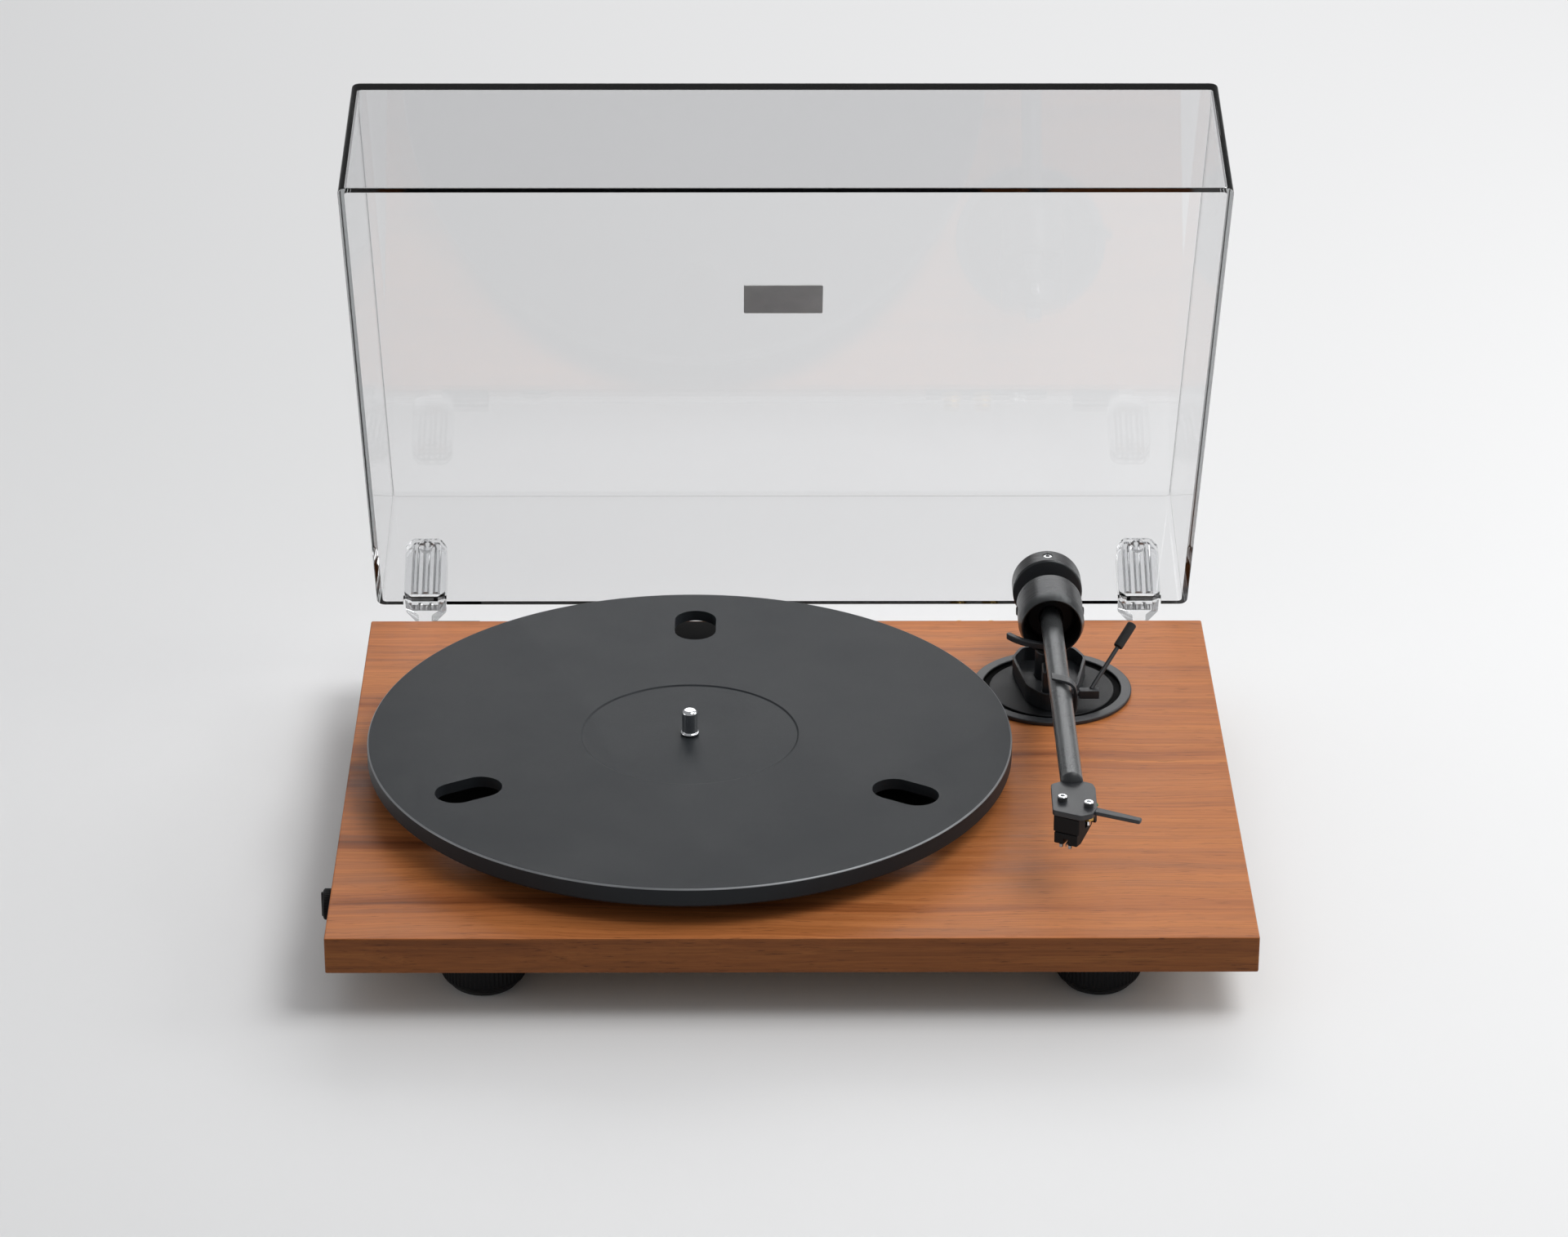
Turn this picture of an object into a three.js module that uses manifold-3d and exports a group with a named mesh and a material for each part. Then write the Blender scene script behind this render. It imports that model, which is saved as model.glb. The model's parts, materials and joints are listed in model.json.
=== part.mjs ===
// Belt-drive record player on a wooden plinth, with a tonearm and a clear hinged lid.
// Millimetres, +X to the right, +Y to the back, +Z up. The feet stand on z = 0.
import * as THREE from 'three';
import { mergeVertices } from 'three/addons/utils/BufferGeometryUtils.js';
import Module from 'manifold-3d';

const wasm = await Module();
wasm.setup();

// ---------------------------------------------------------------- driving dimensions
const GAP = 0.3; // clearance between separate pieces
const DEGREE = Math.PI / 180;

const PLINTH = { width: 411.5, depth: 319.5, thickness: 17.4, edge: 0.6 };
const FOOT = { radius: 19.4, height: 24, padRadius: 15.5, padHeight: 2.1 };
const FOOT_INSET = { x: 68, front: 36, back: 30 };
const PLINTH_TOP = FOOT.height + PLINTH.thickness;

const SPINDLE = { x: -46.3, y: 0, radius: 3.6, tip: 31.6 };
const PLATTER = { radius: 150, top: 19.3, rimBottom: 10, webBottom: 14, labelRadius: 50, labelDepth: 0.5 };
const SLOT = { width: 20, length: 32, distance: 115, firstAngle: 89.2 * DEGREE };
const DRIVE = { ringRadius: 64, pulleyRadius: 10, distance: 92, angle: 135 * DEGREE, belt: 1.2 };
const BEARING = { radius: 8, bore: 3.9, flange: 14, bottom: -20, ball: 2.5 };
const MOTOR = { radius: 21, top: -7.2, bottom: -28, shaft: 1.5 };

const PIVOT = { x: 126, y: 91.6, z: 38 }; // tonearm pivot, above the plinth's top face
const ARM_YAW = 0.17 * DEGREE; // how far the parked arm points inward
const ARM_LIFT = 1.7 * DEGREE; // how far the raised arm tilts up
const TUBE = { radius: 5.1, bore: 4.1, front: 187.4, back: -14, stubRadius: 4, stubEnd: -41 };
const MOUNT = { forward: 210.6, right: 0.3, pitch: 12.7 }; // the cartridge screws, from the pivot
const HEADSHELL = { top: 1, thickness: 2.6, offset: 27 * DEGREE };
const WEIGHT = { radius: 16.8, front: -22.2, back: -34.7 };
const RING = { radius: 15.8, bore: 13.1, back: -8, shoulder: 12.8, front: 17.6, frontRadius: 14.1 };

const ARM_BASE = { x: 127.1, y: 82.3, radius: 38.5, inner: 33.4, top: 2.3, plateRadius: 30.1, plateTop: 1.5 };
const LIFT_BAR = { inner: 22.8, outer: 25.5, top: 32.8, bottom: 29.8, post: 24.1 };
const CUE = { y: -27, z: 7.4, stub: [13.2, 22.8], base: [19.1, 1.2, 1.8], tip: [39.6, 23.2, 25.6] };

const LID = { x: -2, width: 402.5, depth: 310.6, height: 66.9, wall: 3, inset: 3.2, corner: 5, rim: 1 };
const LID_OPEN = 62.7 * DEGREE;
const HINGE = { x: 177.5, y: 164.8, z: -8.4, pin: 3.2, boss: 4.4, neck: 3.2, pinLength: 26 };

// ---------------------------------------------------------------- solids
function outward(geometry) {
  const plain = geometry.clone();
  plain.deleteAttribute('normal');
  plain.deleteAttribute('uv');
  const merged = mergeVertices(plain, 1e-4);
  const position = merged.attributes.position;
  const index = merged.index.array;
  const [a, b, c] = [new THREE.Vector3(), new THREE.Vector3(), new THREE.Vector3()];
  const kept = [];
  let volume = 0;
  for (let i = 0; i < index.length; i += 3) {
    const [i0, i1, i2] = [index[i], index[i + 1], index[i + 2]];
    if (i0 === i1 || i1 === i2 || i2 === i0) continue;
    kept.push(i0, i1, i2);
    a.fromBufferAttribute(position, i0);
    b.fromBufferAttribute(position, i1);
    c.fromBufferAttribute(position, i2);
    volume += a.dot(b.cross(c));
  }
  if (volume < 0) kept.reverse();
  merged.setIndex(kept);
  return merged;
}

function toSolid(geometry) {
  const closed = outward(geometry);
  const vertProperties = Float32Array.from(closed.attributes.position.array);
  const triVerts = Uint32Array.from(closed.index.array);
  return new wasm.Manifold(new wasm.Mesh({ numProp: 3, vertProperties, triVerts }));
}

function toGeometry(solid) {
  const mesh = solid.getMesh();
  const geometry = new THREE.BufferGeometry();
  geometry.setAttribute('position', new THREE.Float32BufferAttribute(mesh.vertProperties, 3));
  geometry.setIndex(Array.from(mesh.triVerts));
  return geometry;
}

function cut(geometry, ...tools) {
  return toGeometry(tools.reduce((solid, tool) => solid.subtract(toSolid(tool)), toSolid(geometry)));
}

function join(geometry, ...others) {
  return toGeometry(others.reduce((solid, other) => solid.add(toSolid(other)), toSolid(geometry)));
}

function common(geometry, other) {
  return toGeometry(toSolid(geometry).intersect(toSolid(other)));
}

// A box given by its lowest and highest corners.
function block(low, high) {
  const size = low.map((value, i) => high[i] - value);
  const centre = low.map((value, i) => (value + high[i]) / 2);
  return new THREE.BoxGeometry(...size).translate(...centre);
}

// A solid of revolution about Z, from [radius, z] points.
function turned(profile, segments = 48) {
  const points = profile.map(([radius, z]) => new THREE.Vector2(radius, z));
  return outward(new THREE.LatheGeometry(points, segments).rotateX(Math.PI / 2));
}

function rod(radius, bottom, top, segments = 24) {
  return turned([[0, bottom], [radius, bottom], [radius, top], [0, top]], segments);
}

const alongX = (geometry) => geometry.rotateY(Math.PI / 2);
const alongForward = (geometry) => geometry.rotateX(Math.PI / 2); // the arm's forward direction is -Y

// A straight round bar between two points.
function bar(from, to, radius, segments = 12) {
  const [start, end] = [new THREE.Vector3(...from), new THREE.Vector3(...to)];
  const length = start.distanceTo(end);
  const turn = new THREE.Quaternion();
  turn.setFromUnitVectors(new THREE.Vector3(0, 0, 1), end.clone().sub(start).normalize());
  return rod(radius, 0, length, segments).applyQuaternion(turn).translate(...from);
}

// A flat outline from [x, y] corners, each rounded with the radius given.
function outline(corners, radius) {
  const points = corners.map(([x, y]) => new THREE.Vector2(x, y));
  const shape = new THREE.Shape();
  points.forEach((corner, i) => {
    const previous = points.at(i - 1);
    const next = points[(i + 1) % points.length];
    const start = previous.clone().sub(corner).setLength(radius).add(corner);
    const end = next.clone().sub(corner).setLength(radius).add(corner);
    if (i === 0) shape.moveTo(start.x, start.y);
    else shape.lineTo(start.x, start.y);
    if (radius > 0) shape.quadraticCurveTo(corner.x, corner.y, end.x, end.y);
  });
  shape.closePath();
  return shape;
}

function rectangle(width, depth, radius) {
  const [x, y] = [width / 2, depth / 2];
  return outline([[-x, -y], [x, -y], [x, y], [-x, y]], radius);
}

function plate(shape, bottom, top, curveSegments = 5) {
  const settings = { depth: top - bottom, bevelEnabled: false, curveSegments };
  return new THREE.ExtrudeGeometry(shape, settings).translate(0, 0, bottom);
}

// A slab cut from a profile of [y, z] points, between two x values.
function profiled(corners, low, high) {
  const shape = outline(corners, 0);
  const slab = new THREE.ExtrudeGeometry(shape, { depth: high - low, bevelEnabled: false });
  const turn = new THREE.Matrix4().makeBasis(
    new THREE.Vector3(0, 1, 0), new THREE.Vector3(0, 0, 1), new THREE.Vector3(1, 0, 0));
  return slab.applyMatrix4(turn).translate(low, 0, 0);
}

// ---------------------------------------------------------------- finishes
const finish = (color, roughness, metalness = 0) => ({ color, roughness, metalness });
const FINISH = {
  walnut: finish(0x9c6238, 0.45),
  matteBlack: finish(0x17181a, 0.7),
  satinBlack: finish(0x26282b, 0.4),
  platter: finish(0x33373b, 0.6),
  rubber: finish(0x111111, 0.9),
  chrome: finish(0xdadde0, 0.12, 1),
  satinGrey: finish(0x6b6f72, 0.35, 0.8),
  anodised: finish(0x2d3033, 0.35, 0.7),
  brass: finish(0xb99a55, 0.3, 1),
  steel: finish(0x9a9da0, 0.35, 1),
  board: finish(0x1f5a38, 0.6),
  acrylic: { color: 0xe9eef0, roughness: 0.05, transparent: true, opacity: 0.3 },
};

const turntable = new THREE.Group();
const deck = new THREE.Group(); // z = 0 here is the plinth's top face
deck.position.z = PLINTH_TOP;
turntable.add(deck);

function add(parent, name, geometry, look) {
  const mesh = new THREE.Mesh(outward(geometry), new THREE.MeshStandardMaterial(look));
  mesh.name = name;
  parent.add(mesh);
  return mesh;
}

// ---------------------------------------------------------------- plinth and what is let into it
const motorX = SPINDLE.x + DRIVE.distance * Math.cos(DRIVE.angle);
const motorY = SPINDLE.y + DRIVE.distance * Math.sin(DRIVE.angle);
const REAR = PLINTH.depth / 2;
const PANEL = { x: 104, z: -8.7, width: 62, height: 14, thickness: 1.8, pocket: 12 };
const POWER = { x: -128, z: -8.7, radius: 5.6, bore: 3.3, depth: 11 };
const KNOB = { y: -111.5, z: -9.2, radius: 7.1, thickness: 3.6, shaft: 2.4 };

function plinth() {
  const { width, depth, thickness, edge } = PLINTH;
  const shape = rectangle(width - 2 * edge, depth - 2 * edge, 0.4);
  const settings = { depth: thickness - 2 * edge, curveSegments: 2, bevelSegments: 2 };
  const bevel = { bevelSize: edge, bevelThickness: edge };
  const board = new THREE.ExtrudeGeometry(shape, { ...settings, ...bevel });
  board.translate(0, 0, edge - thickness);
  const through = [-thickness - 1, 1];
  const pocketHalf = [PANEL.width / 2 - 3, PANEL.height / 2 - 2];
  return cut(
    board,
    rod(BEARING.radius + GAP, ...through, 32).translate(SPINDLE.x, SPINDLE.y, 0),
    rod(MOTOR.radius + 3, -thickness - 1, -5.2, 48).translate(motorX, motorY, 0),
    rod(4, ...through, 24).translate(motorX, motorY, 0),
    rod(7, ...through, 32).translate(PIVOT.x, PIVOT.y, 0),
    block([PANEL.x - pocketHalf[0], REAR - PANEL.pocket, PANEL.z - pocketHalf[1]],
      [PANEL.x + pocketHalf[0], REAR + 1, PANEL.z + pocketHalf[1]]),
    alongForward(rod(POWER.radius + GAP, -REAR - 1, 14 - REAR, 32)).translate(POWER.x, 0, POWER.z),
    alongX(rod(KNOB.shaft + GAP, -PLINTH.width / 2 - 1, 20 - PLINTH.width / 2)).translate(0, KNOB.y, KNOB.z),
  );
}
add(deck, 'plinth', plinth(), FINISH.walnut);

function footPlaces() {
  const x = PLINTH.width / 2 - FOOT_INSET.x;
  const front = FOOT_INSET.front - REAR;
  const back = REAR - FOOT_INSET.back;
  return { front_left: [-x, front], front_right: [x, front], rear_left: [-x, back], rear_right: [x, back] };
}

for (const [place, [x, y]] of Object.entries(footPlaces())) {
  const { radius, height, padRadius, padHeight } = FOOT;
  const body = turned([
    [0, padHeight + GAP], [padRadius, padHeight + GAP], [radius - 0.8, 4.2], [radius, 6],
    [radius, 19], [radius - 1, 20], [13, 20], [13, height - GAP], [0, height - GAP],
  ], 28);
  const pad = turned([[0, 0], [padRadius - 1, 0], [padRadius, 1], [padRadius, padHeight], [0, padHeight]], 28);
  add(turntable, `foot_${place}`, body.translate(x, y, 0), FINISH.matteBlack);
  add(turntable, `foot_pad_${place}`, pad.translate(x, y, 0), FINISH.rubber);
}

// ---------------------------------------------------------------- drive: motor, belt, bearing
function bottomCover() {
  const [low, high] = [[-136, 34, -31], [-12, 100, -PLINTH.thickness - GAP]];
  const wall = 2;
  const inner = block(low.map((value) => value + wall), [high[0] - wall, high[1] - wall, high[2] + 1]);
  return cut(block(low, high), inner);
}
add(deck, 'bottom_cover', bottomCover(), FINISH.matteBlack);

const motorBody = cut(
  turned([
    [0, MOTOR.bottom], [MOTOR.radius - 1, MOTOR.bottom], [MOTOR.radius, MOTOR.bottom + 1],
    [MOTOR.radius, MOTOR.top - 1], [MOTOR.radius - 1, MOTOR.top], [0, MOTOR.top],
  ], 28),
  rod(MOTOR.shaft + GAP, MOTOR.top - 9, MOTOR.top + 1, 16),
);
add(deck, 'motor', motorBody.translate(motorX, motorY, 0), FINISH.steel);

const motorPlate = cut(plate(rectangle(44, 22, 6), MOTOR.top + GAP, MOTOR.top + 1.5), rod(3, -9, -4, 20));
add(deck, 'motor_plate', motorPlate.translate(motorX, motorY, 0), FINISH.steel);

add(deck, 'circuit_board', block([-80, 40, -24], [-18, 94, -22.4]), FINISH.board);

const pulley = turned([
  [0, MOTOR.top - 8], [MOTOR.shaft, MOTOR.top - 8], [MOTOR.shaft, 2.2], [DRIVE.pulleyRadius + 1.6, 2.2],
  [DRIVE.pulleyRadius + 1.6, 2.8], [DRIVE.pulleyRadius, 3.1], [DRIVE.pulleyRadius, 8.6],
  [DRIVE.pulleyRadius + 1.6, 8.9], [DRIVE.pulleyRadius + 1.6, 9.5], [0, 9.5],
], 28);
add(deck, 'motor_pulley', pulley.translate(motorX, motorY, 0), FINISH.brass);

function beltOutline(offset) {
  const [large, small] = [DRIVE.ringRadius + offset, DRIVE.pulleyRadius + offset];
  const wrap = Math.acos((large - small) / DRIVE.distance);
  const path = new THREE.Shape();
  path.absarc(0, 0, large, wrap, 2 * Math.PI - wrap, false);
  path.absarc(DRIVE.distance, 0, small, -wrap, wrap, false);
  path.closePath();
  return path;
}

const belt = cut(
  plate(beltOutline(GAP + DRIVE.belt), 3.6, 8, 14),
  plate(beltOutline(GAP), 3, 9, 14),
);
add(deck, 'drive_belt', belt.rotateZ(DRIVE.angle).translate(SPINDLE.x, SPINDLE.y, 0), FINISH.rubber);

const bearing = turned([
  [0, BEARING.bottom], [BEARING.radius, BEARING.bottom], [BEARING.radius, GAP], [BEARING.flange, GAP],
  [BEARING.flange, 2], [BEARING.bore, 2], [BEARING.bore, BEARING.bottom + 1.5], [0, BEARING.bottom + 1.5],
], 28);
add(deck, 'main_bearing', bearing.translate(SPINDLE.x, SPINDLE.y, 0), FINISH.brass);

const ballCentre = BEARING.bottom + 1.5 + GAP + BEARING.ball;
const ball = new THREE.SphereGeometry(BEARING.ball, 12, 8);
add(deck, 'thrust_ball', ball.translate(SPINDLE.x, SPINDLE.y, ballCentre), FINISH.steel);

// ---------------------------------------------------------------- platter
function slot() {
  const shape = new THREE.Shape();
  const [radius, reach] = [SLOT.width / 2, (SLOT.length - SLOT.width) / 2];
  shape.absarc(reach, 0, radius, -Math.PI / 2, Math.PI / 2, false);
  shape.absarc(-reach, 0, radius, Math.PI / 2, (3 * Math.PI) / 2, false);
  shape.closePath();
  return plate(shape, 0, 30, 12).translate(SLOT.distance, 0, 0);
}

function platter() {
  const { radius, top, rimBottom, webBottom, labelRadius, labelDepth } = PLATTER;
  const disc = turned([
    [SPINDLE.radius + GAP, rimBottom], [68, rimBottom], [69, webBottom], [143, webBottom],
    [144, rimBottom], [radius - 1.2, rimBottom], [radius, rimBottom + 1.2], [radius, top - 0.6],
    [radius - 0.6, top], [labelRadius + 0.5, top], [labelRadius, top - labelDepth],
    [SPINDLE.radius + GAP, top - labelDepth], [SPINDLE.radius + GAP, rimBottom],
  ], 96);
  const turns = [0, 1, 2].map((i) => SLOT.firstAngle + (i * 2 * Math.PI) / 3);
  return cut(disc, ...turns.map((angle) => slot().rotateZ(angle)));
}
add(deck, 'platter', platter().translate(SPINDLE.x, SPINDLE.y, 0), FINISH.platter);

const subPlatter = turned([
  [SPINDLE.radius + GAP, 2.6], [11, 2.6], [12, 6.6], [DRIVE.ringRadius - 3, 6.6], [DRIVE.ringRadius - 2.4, 3.1],
  [DRIVE.ringRadius, 3.1], [DRIVE.ringRadius, 9.6], [SPINDLE.radius + GAP, 9.6], [SPINDLE.radius + GAP, 2.6],
], 64);
add(deck, 'sub_platter', subPlatter.translate(SPINDLE.x, SPINDLE.y, 0), FINISH.matteBlack);

const spindleFoot = ballCentre + BEARING.ball + GAP;
const spindle = turned([
  [0, spindleFoot], [SPINDLE.radius - 0.4, spindleFoot], [SPINDLE.radius, spindleFoot + 0.4],
  [SPINDLE.radius, PLATTER.top + 0.1], [4.3, PLATTER.top + 0.1], [4.3, PLATTER.top + 1],
  [SPINDLE.radius, PLATTER.top + 1.3], [SPINDLE.radius, SPINDLE.tip - 1.1], [SPINDLE.radius - 1, SPINDLE.tip],
  [0, SPINDLE.tip],
], 32);
add(deck, 'spindle', spindle.translate(SPINDLE.x, SPINDLE.y, 0), FINISH.chrome);

// ---------------------------------------------------------------- rear connections and the speed knob
function terminalPanel() {
  const { x, width, height, thickness } = PANEL;
  const body = plate(rectangle(width, height, 2), 0, thickness, 4);
  const jackHoles = [-18, -2].map((offset) => rod(4.1, -1, 4, 24).translate(offset, 0, 0));
  const postHole = rod(2.4, -1, 4, 20).translate(16, 0, 0);
  return cut(body, ...jackHoles, postHole).rotateX(-Math.PI / 2).translate(x, REAR + GAP, PANEL.z);
}
add(deck, 'terminal_panel', terminalPanel(), FINISH.matteBlack);

const rearward = (geometry) => geometry.rotateX(-Math.PI / 2); // a turned piece's +Z end points to the back
const jack = () => rearward(turned([
  [0, -9], [3.8, -9], [3.8, 2.3], [5.2, 2.3], [5.2, 3.4], [4.1, 3.7], [4.1, 9.6], [3.2, 9.6], [3.2, 1.5],
  [2.6, 1.5], [2.6, 9], [1.7, 9], [1.7, 0.5], [0, 0.5],
], 16));
add(deck, 'jack_left', jack().translate(PANEL.x - 18, REAR, PANEL.z), FINISH.brass);
add(deck, 'jack_right', jack().translate(PANEL.x - 2, REAR, PANEL.z), FINISH.brass);

const groundPost = rearward(turned([
  [0, -8], [2.1, -8], [2.1, 3], [4.4, 3], [4.4, 6.6], [3.6, 7.4], [0, 7.4],
], 16));
add(deck, 'ground_post', groundPost.translate(PANEL.x + 16, REAR, PANEL.z), FINISH.chrome);

const powerSocket = rearward(turned([
  [0, -POWER.depth], [POWER.radius, -POWER.depth], [POWER.radius, GAP], [8, GAP], [8, 1.5], [POWER.bore, 1.5],
  [POWER.bore, 2 - POWER.depth], [0, 2 - POWER.depth],
], 16));
add(deck, 'power_socket', powerSocket.translate(POWER.x, REAR, POWER.z), FINISH.matteBlack);

// ---------------------------------------------------------------- speed knob, on the left side
function knob() {
  const face = -PLINTH.width / 2 - GAP - KNOB.thickness;
  const { radius, shaft } = KNOB;
  const body = alongX(turned([
    [0, face], [radius - 0.7, face], [radius, face + 0.7], [radius, -PLINTH.width / 2 - GAP],
    [shaft, -PLINTH.width / 2 - GAP], [shaft, 16 - PLINTH.width / 2], [0, 16 - PLINTH.width / 2],
  ], 32));
  const grip = block([face - 0.9, -1, -radius + 1.2], [face + 0.5, 1, radius - 1.2]);
  return join(body, grip);
}
add(deck, 'speed_knob', knob().translate(0, KNOB.y, KNOB.z), FINISH.matteBlack);

// ---------------------------------------------------------------- tonearm base
const { radius: baseRadius, inner: baseInner, top: baseTop, plateRadius, plateTop } = ARM_BASE;
const baseFloor = 0.4; // the ring is a shallow dish, and the plate lies in it
const baseRing = turned([
  [10.5, 0.1], [baseRadius - 0.5, 0.1], [baseRadius, 0.6], [baseRadius, baseTop - 0.4],
  [baseRadius - 0.4, baseTop], [baseInner + 0.3, baseTop], [baseInner, baseTop - 0.3],
  [baseInner, baseFloor], [10.5, baseFloor], [10.5, 0.1],
], 56);
const pivotOffset = [PIVOT.x - ARM_BASE.x, PIVOT.y - ARM_BASE.y];
const columnHole = () => rod(6.9, -3, 14, 32).translate(...pivotOffset, 0);
const onBase = (geometry) => cut(geometry, columnHole()).translate(ARM_BASE.x, ARM_BASE.y, 0);
add(deck, 'arm_base_ring', onBase(baseRing), FINISH.satinBlack);

const plateBottom = baseFloor + GAP;
const basePlate = turned([
  [0, plateBottom], [plateRadius, plateBottom], [plateRadius, plateTop - 0.3], [plateRadius - 0.3, plateTop],
  [0, plateTop],
], 48);
add(deck, 'arm_base_plate', onBase(basePlate), FINISH.satinBlack);

const fixedArm = new THREE.Group(); // origin under the pivot, still on the deck
fixedArm.position.set(PIVOT.x, PIVOT.y, 0);
deck.add(fixedArm);

function bearingShield() {
  const corners = (inset) => {
    const half = [13.2, 18, 12.2].map((value) => value - inset);
    const right = [[half[0], 17.6 - inset], [half[1], 6], [half[2], -25], [4, inset - 35]];
    return [...right.map(([x, y]) => [x, y]), ...right.reverse().map(([x, y]) => [-x, y])].reverse();
  };
  const [bottom, floor, top, offCentre] = [plateTop + GAP, 3.6, 10.6, 0.5];
  const body = plate(outline(corners(0), 3), bottom, top, 5).translate(offCentre, 0, 0);
  const hollow = plate(outline(corners(1.3), 2.4), floor, top + 1, 5).translate(offCentre, 0, 0);
  const pinHole = alongX(rod(1.7, 0, 14, 16)).translate(0, CUE.y, CUE.z);
  return cut(body, hollow, rod(7.1, 0, 14, 32), pinHole);
}
add(fixedArm, 'bearing_shield', bearingShield(), FINISH.satinBlack);

const column = turned([
  [4.3, -10], [6.6, -10], [6.6, 17.4], [6, 18], [4.3, 18], [4.3, -10],
], 32);
add(fixedArm, 'arm_column', column, FINISH.satinBlack);

// The rest stands inside the shield, guides the lift post and reaches forward under the tube to its hook.
function armRest() {
  const tower = block([-4.5, -29.5, 3.9], [4.5, -18.5, 20]);
  const postHole = rod(2.35, 0, 26, 20).translate(0, -LIFT_BAR.post, 0);
  const spine = [[-27, 11], [-29, 14], [-88, 28.6], [-93.5, 29.2], [-93.5, 32], [-87, 32], [-27, 20]];
  const beam = profiled(spine, -1.6, 1.6);
  const cradle = new THREE.Shape();
  cradle.moveTo(-4.4, 46.3);
  cradle.lineTo(2, 46.5);
  cradle.quadraticCurveTo(5.6, 46.1, 5.6, 42);
  cradle.lineTo(5.6, 35.4);
  cradle.quadraticCurveTo(5.4, 32.1, 0, 32);
  cradle.lineTo(-3.6, 32);
  cradle.lineTo(-3.6, 30.2);
  cradle.lineTo(1, 30.2);
  cradle.quadraticCurveTo(7.4, 30.4, 7.2, 36);
  cradle.lineTo(7.2, 43);
  cradle.quadraticCurveTo(7, 47.8, 2, 48);
  cradle.lineTo(-4.4, 47.4);
  cradle.closePath();
  const strap = new THREE.ExtrudeGeometry(cradle, { depth: 4.2, bevelEnabled: false, curveSegments: 6 });
  const skew = new THREE.Matrix4().makeBasis(
    new THREE.Vector3(1, -0.72, 0), new THREE.Vector3(0, 0, 1), new THREE.Vector3(0, 1, 0));
  strap.applyMatrix4(skew).translate(0, -93.1, 0);
  return join(cut(join(tower, beam), postHole), strap);
}
add(fixedArm, 'arm_rest', armRest(), FINISH.satinBlack);

// The lift bar: a curved bank under the tube on a sliding post.
function liftBar() {
  const bank = new THREE.Shape();
  const [from, to] = [-94 * DEGREE, -146 * DEGREE];
  bank.absarc(0, 0, LIFT_BAR.outer, from, to, true);
  bank.absarc(0, 0, LIFT_BAR.inner, to, from, false);
  bank.closePath();
  const sector = new THREE.Shape();
  sector.absarc(0, 0, LIFT_BAR.outer, -84 * DEGREE, -96 * DEGREE, true);
  sector.absarc(0, 0, LIFT_BAR.inner, -96 * DEGREE, -84 * DEGREE, false);
  sector.closePath();
  const curved = plate(bank, LIFT_BAR.bottom, LIFT_BAR.top, 10);
  const end = plate(sector, LIFT_BAR.bottom, LIFT_BAR.top, 3);
  return join(curved, end, rod(2, 8, LIFT_BAR.bottom + 1, 20).translate(0, -LIFT_BAR.post, 0));
}
add(fixedArm, 'lift_bar', liftBar(), FINISH.satinBlack);

const cue = new THREE.Group(); // origin on the lever's axis
cue.position.set(0, CUE.y, CUE.z);
fixedArm.add(cue);
const cueStub = block([CUE.stub[0], -2.1, -2.1], [CUE.stub[1], 2.1, 2.1]);
const cuePin = alongX(rod(1.3, 5, CUE.stub[0] + 1, 16));
const cueFraction = (fraction) => CUE.base.map((value, i) => value + (CUE.tip[i] - value) * fraction);
const cueRod = bar(CUE.base, cueFraction(0.97), 1.05, 12);
add(cue, 'cue_lever', join(cueStub, cuePin, cueRod), FINISH.satinBlack);
const gripBore = bar(cueFraction(0.5), cueFraction(0.98), 1.35, 12);
const gripSleeve = cut(bar(cueFraction(0.64), CUE.tip, 2.3, 16), gripBore);
add(cue, 'cue_grip', gripSleeve, FINISH.matteBlack);

// ---------------------------------------------------------------- tonearm yoke, turning on the column
const yoke = new THREE.Group();
yoke.position.set(PIVOT.x, PIVOT.y, PIVOT.z);
yoke.rotation.z = -ARM_YAW;
deck.add(yoke);

const yokeShaft = turned([
  [0, -44], [4, -44], [4, -19.6], [6.4, -19.6], [8, -17.6], [8, -RING.radius - 0.5], [0, -RING.radius - 0.5],
], 32);
add(yoke, 'yoke_shaft', yokeShaft, FINISH.satinBlack);

function bearingRing() {
  const { radius, bore, back, shoulder, front, frontRadius } = RING;
  const body = alongForward(turned([
    [bore, back], [radius - 0.5, back], [radius, back + 0.5], [radius, shoulder], [frontRadius + 0.3, front],
    [frontRadius - 0.4, front], [bore, front - 1.2], [bore, back],
  ], 48));
  return cut(body, alongX(rod(2.4, -20, 20, 20)));
}
add(yoke, 'bearing_ring', bearingRing(), FINISH.satinGrey);

for (const [side, name] of [[-1, 'left'], [1, 'right']]) {
  const screw = alongX(turned([[0, 12.1], [1.6, 12.9], [2.1, 13.5], [2.1, 15.9], [1.7, 16.3], [0, 16.3]], 20));
  if (side < 0) screw.rotateZ(Math.PI);
  add(yoke, `pivot_screw_${name}`, screw, FINISH.matteBlack);
}

// ---------------------------------------------------------------- the arm itself, tilting in the yoke
const arm = new THREE.Group();
arm.rotation.x = -ARM_LIFT;
yoke.add(arm);

const tube = alongForward(turned([
  [0, TUBE.stubEnd], [TUBE.stubRadius, TUBE.stubEnd], [TUBE.stubRadius, TUBE.back], [TUBE.radius, TUBE.back],
  [TUBE.radius, TUBE.front], [TUBE.bore, TUBE.front], [TUBE.bore, TUBE.back + 4], [0, TUBE.back + 4],
], 40));
add(arm, 'arm_tube', tube, FINISH.anodised);

const bearingBlock = alongForward(turned([
  [TUBE.radius + GAP, -7], [10.6, -7], [11.8, -5.8], [11.8, 5.8], [10.6, 7], [TUBE.radius + GAP, 7],
  [TUBE.radius + GAP, -7],
], 28));
add(arm, 'bearing_block', bearingBlock, FINISH.matteBlack);

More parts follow.
